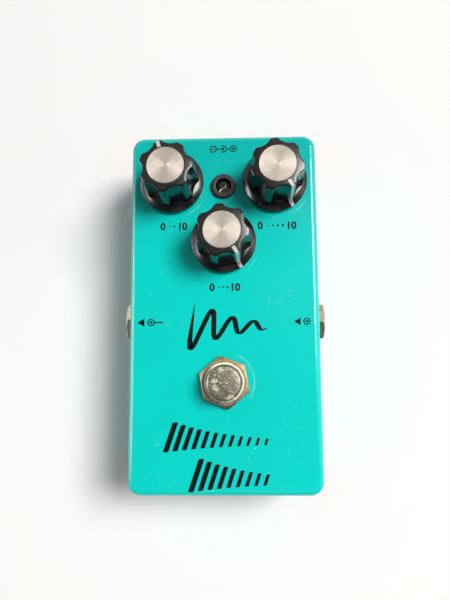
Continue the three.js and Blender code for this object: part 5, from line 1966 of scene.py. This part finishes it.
@dataclass
class Studio:
    """A pale sheet, plain soft light and the camera that looks down on the panel."""

    floor_colour: Colour = (0.90, 0.90, 0.90)
    near_shade_colour: Colour = (0.90, 0.81, 0.82)
    floor_lift: float = 0.015
    zenith: float = 0.11
    horizon: float = 0.49
    backdrop: float = 0.93
    front_share: float = 0.2
    left_lift: float = 0.5
    camera_place: Triple = (0.005462, -0.015942, 0.194591)
    camera_axes: tuple[Triple, ...] = (
        (0.99953, 0.01029, 0.02901), (-0.00654, 0.99195, -0.1265), (-0.03008, 0.12625, 0.99154))
    focal_pixels: float = 526.83
    principal: Pair = (226.55, 291.27)
    picture: tuple[int, int] = (450, 600)
    film_height: float = 36.0
    softboxes: tuple[Softbox, ...] = (
        Softbox("key_light", (0.57, 0.26, 1), 2.6, (1.0, 1.0), 1.07, (1.0, 0.985, 0.96)),
        Softbox("front_light", (0.02, -0.17, 0.2), 0.264, (0.12, 0.12), 0.03, (1.0, 0.97, 0.93)),
        Softbox("left_strip", (-0.97, 0.05, 0.3), 1.4, (0.8, 0.26), 0.5, gleam_only=True),
        Softbox("right_strip", (0.79, 0.1, 0.61), 1.4, (0.6, 0.2), 0.045, gleam_only=True),
        Softbox("left_window", (-0.71, -0.02, 0.68), 1.4, (0.5, 0.18), 0.22, gleam_only=True),
    )

    @staticmethod
    def rays(recipe: Recipe) -> tuple[Signal, Signal]:
        """What the camera's rays meet.

        Args:
            recipe: The recipe that asks.

        Returns:
            1 for what the camera sees straight, and 1 for what it sees in a polished or clear surface.
        """
        wanted = ("Is Camera Ray", "Is Glossy Ray", "Is Transmission Ray")
        camera, glossy, clear = (recipe.node("ShaderNodeLightPath", output=ray) for ray in wanted)
        return camera, glossy + clear

    def floor(self) -> None:
        """Lays the pale sheet, which keeps the pedal's shadow; close to the pedal its colour is darker in
        green and blue, painted shade that deepens and greys the shadow there.
        """
        sheet = Solid()
        bmesh.ops.create_grid(sheet.mesh, x_segments=8, y_segments=8, size=1500)
        data = sheet.placed(Matrix.Scale(METRES, 4)).data("sheet")
        made = stand("sheet", data)
        recipe = Recipe(bpy.data.materials.new("sheet"))
        x, y = recipe.plan()
        tone = recipe.mix(y.between(-40, 70), self.floor_colour, [part * 0.955 for part in self.floor_colour])
        # painted shade: the sheet is darker and less green near the pedal, deepening its shadow and
        # cancelling the teal light bounced off the case
        near = x.between(-60, -32) * x.between(60, 32) * abs(y).between(80, 52)
        tone = recipe.mix(near, tone, self.near_shade_colour)
        matt = recipe.node("ShaderNodeBsdfDiffuse", None, {"Color": tone})
        camera, mirrored = self.rays(recipe)
        lift = (camera + mirrored) * self.floor_lift
        glow = recipe.node("ShaderNodeEmission", None, {"Color": (1, 1, 1), "Strength": lift})
        data.materials.append(recipe.close(recipe.node("ShaderNodeAddShader", None, {0: matt, 1: glow})))

    def surroundings(self) -> None:
        """Makes the world a soft grey room, dark overhead and in front, with a pale band low down."""
        world = bpy.data.worlds.new("room")
        bpy.context.scene.world = world
        recipe = Recipe(world, "Generated")
        right, back, height = (recipe.axis(name, recipe.places) for name in "XYZ")
        low = 1 - height.maths("MAXIMUM", height, 0)
        front, left = back.between(-0.15, -0.75), right.between(0.0, -0.8)
        camera, mirrored = self.rays(recipe)
        dim = front * (1 - self.front_share) * (0.5 + mirrored * 0.5)
        lift = (self.horizon - self.zenith) * (1 - dim) + left * (1 - mirrored) * self.left_lift
        level = self.zenith + low ** 1.5 * lift
        band = height.between(0.7, 0.6) * (camera + mirrored * (1 - front))
        level = level * (1 - band) + band * self.backdrop
        glow = recipe.node("ShaderNodeBackground", None, {"Color": (1, 1, 1), "Strength": level})
        recipe.close(glow, "ShaderNodeOutputWorld")

    def camera(self) -> None:
        """Sets the camera at the picture's own viewpoint."""
        data = bpy.data.cameras.new("camera")
        width, height = self.picture
        data.sensor_fit = "VERTICAL"
        data.sensor_width = data.sensor_height = self.film_height
        data.lens = self.focal_pixels * self.film_height / height
        data.shift_x = (width / 2 - self.principal[0]) / height
        data.shift_y = (self.principal[1] - height / 2) / height
        data.clip_start, data.clip_end = 0.01, 20
        made = stand("camera", data)
        made.matrix_world = Matrix.Translation(self.camera_place) @ Matrix(self.camera_axes).to_4x4()
        bpy.context.scene.camera = made

    def build(self) -> None:
        """Sets up the sheet, the lights, the room and the camera."""
        bpy.context.scene.view_settings.view_transform = "Standard"
        self.floor()
        self.surroundings()
        for softbox in self.softboxes:
            softbox.build()
        self.camera()


def main() -> None:
    """Builds the pedal piece by piece, and then the studio."""
    logging.basicConfig(level=logging.INFO, format="%(message)s")
    case = Enclosure()
    knobs = (("time", Body.TIME, TIME_PLACE, 108.0), ("repeat", Body.REPEAT, REPEAT_PLACE, -57.0),
             ("level", Body.LEVEL, LEVEL_PLACE, -57.0))
    makers: list[Callable[[], None]] = [case.build, BasePlate(case).build]
    makers += [ControlKnob(*knob).build for knob in knobs]
    makers += [Indicator().build, Footswitch().build]
    makers += [SideJack("output", OUTPUT_PLACE, 5).build, SideJack("input", INPUT_PLACE, 6).build]
    makers += [PowerJack(POWER_PLACE).build, PanelMarks().build, INNARDS.dress, Studio().build]
    for make in makers:
        make()


if __name__ == "__main__":
    main()
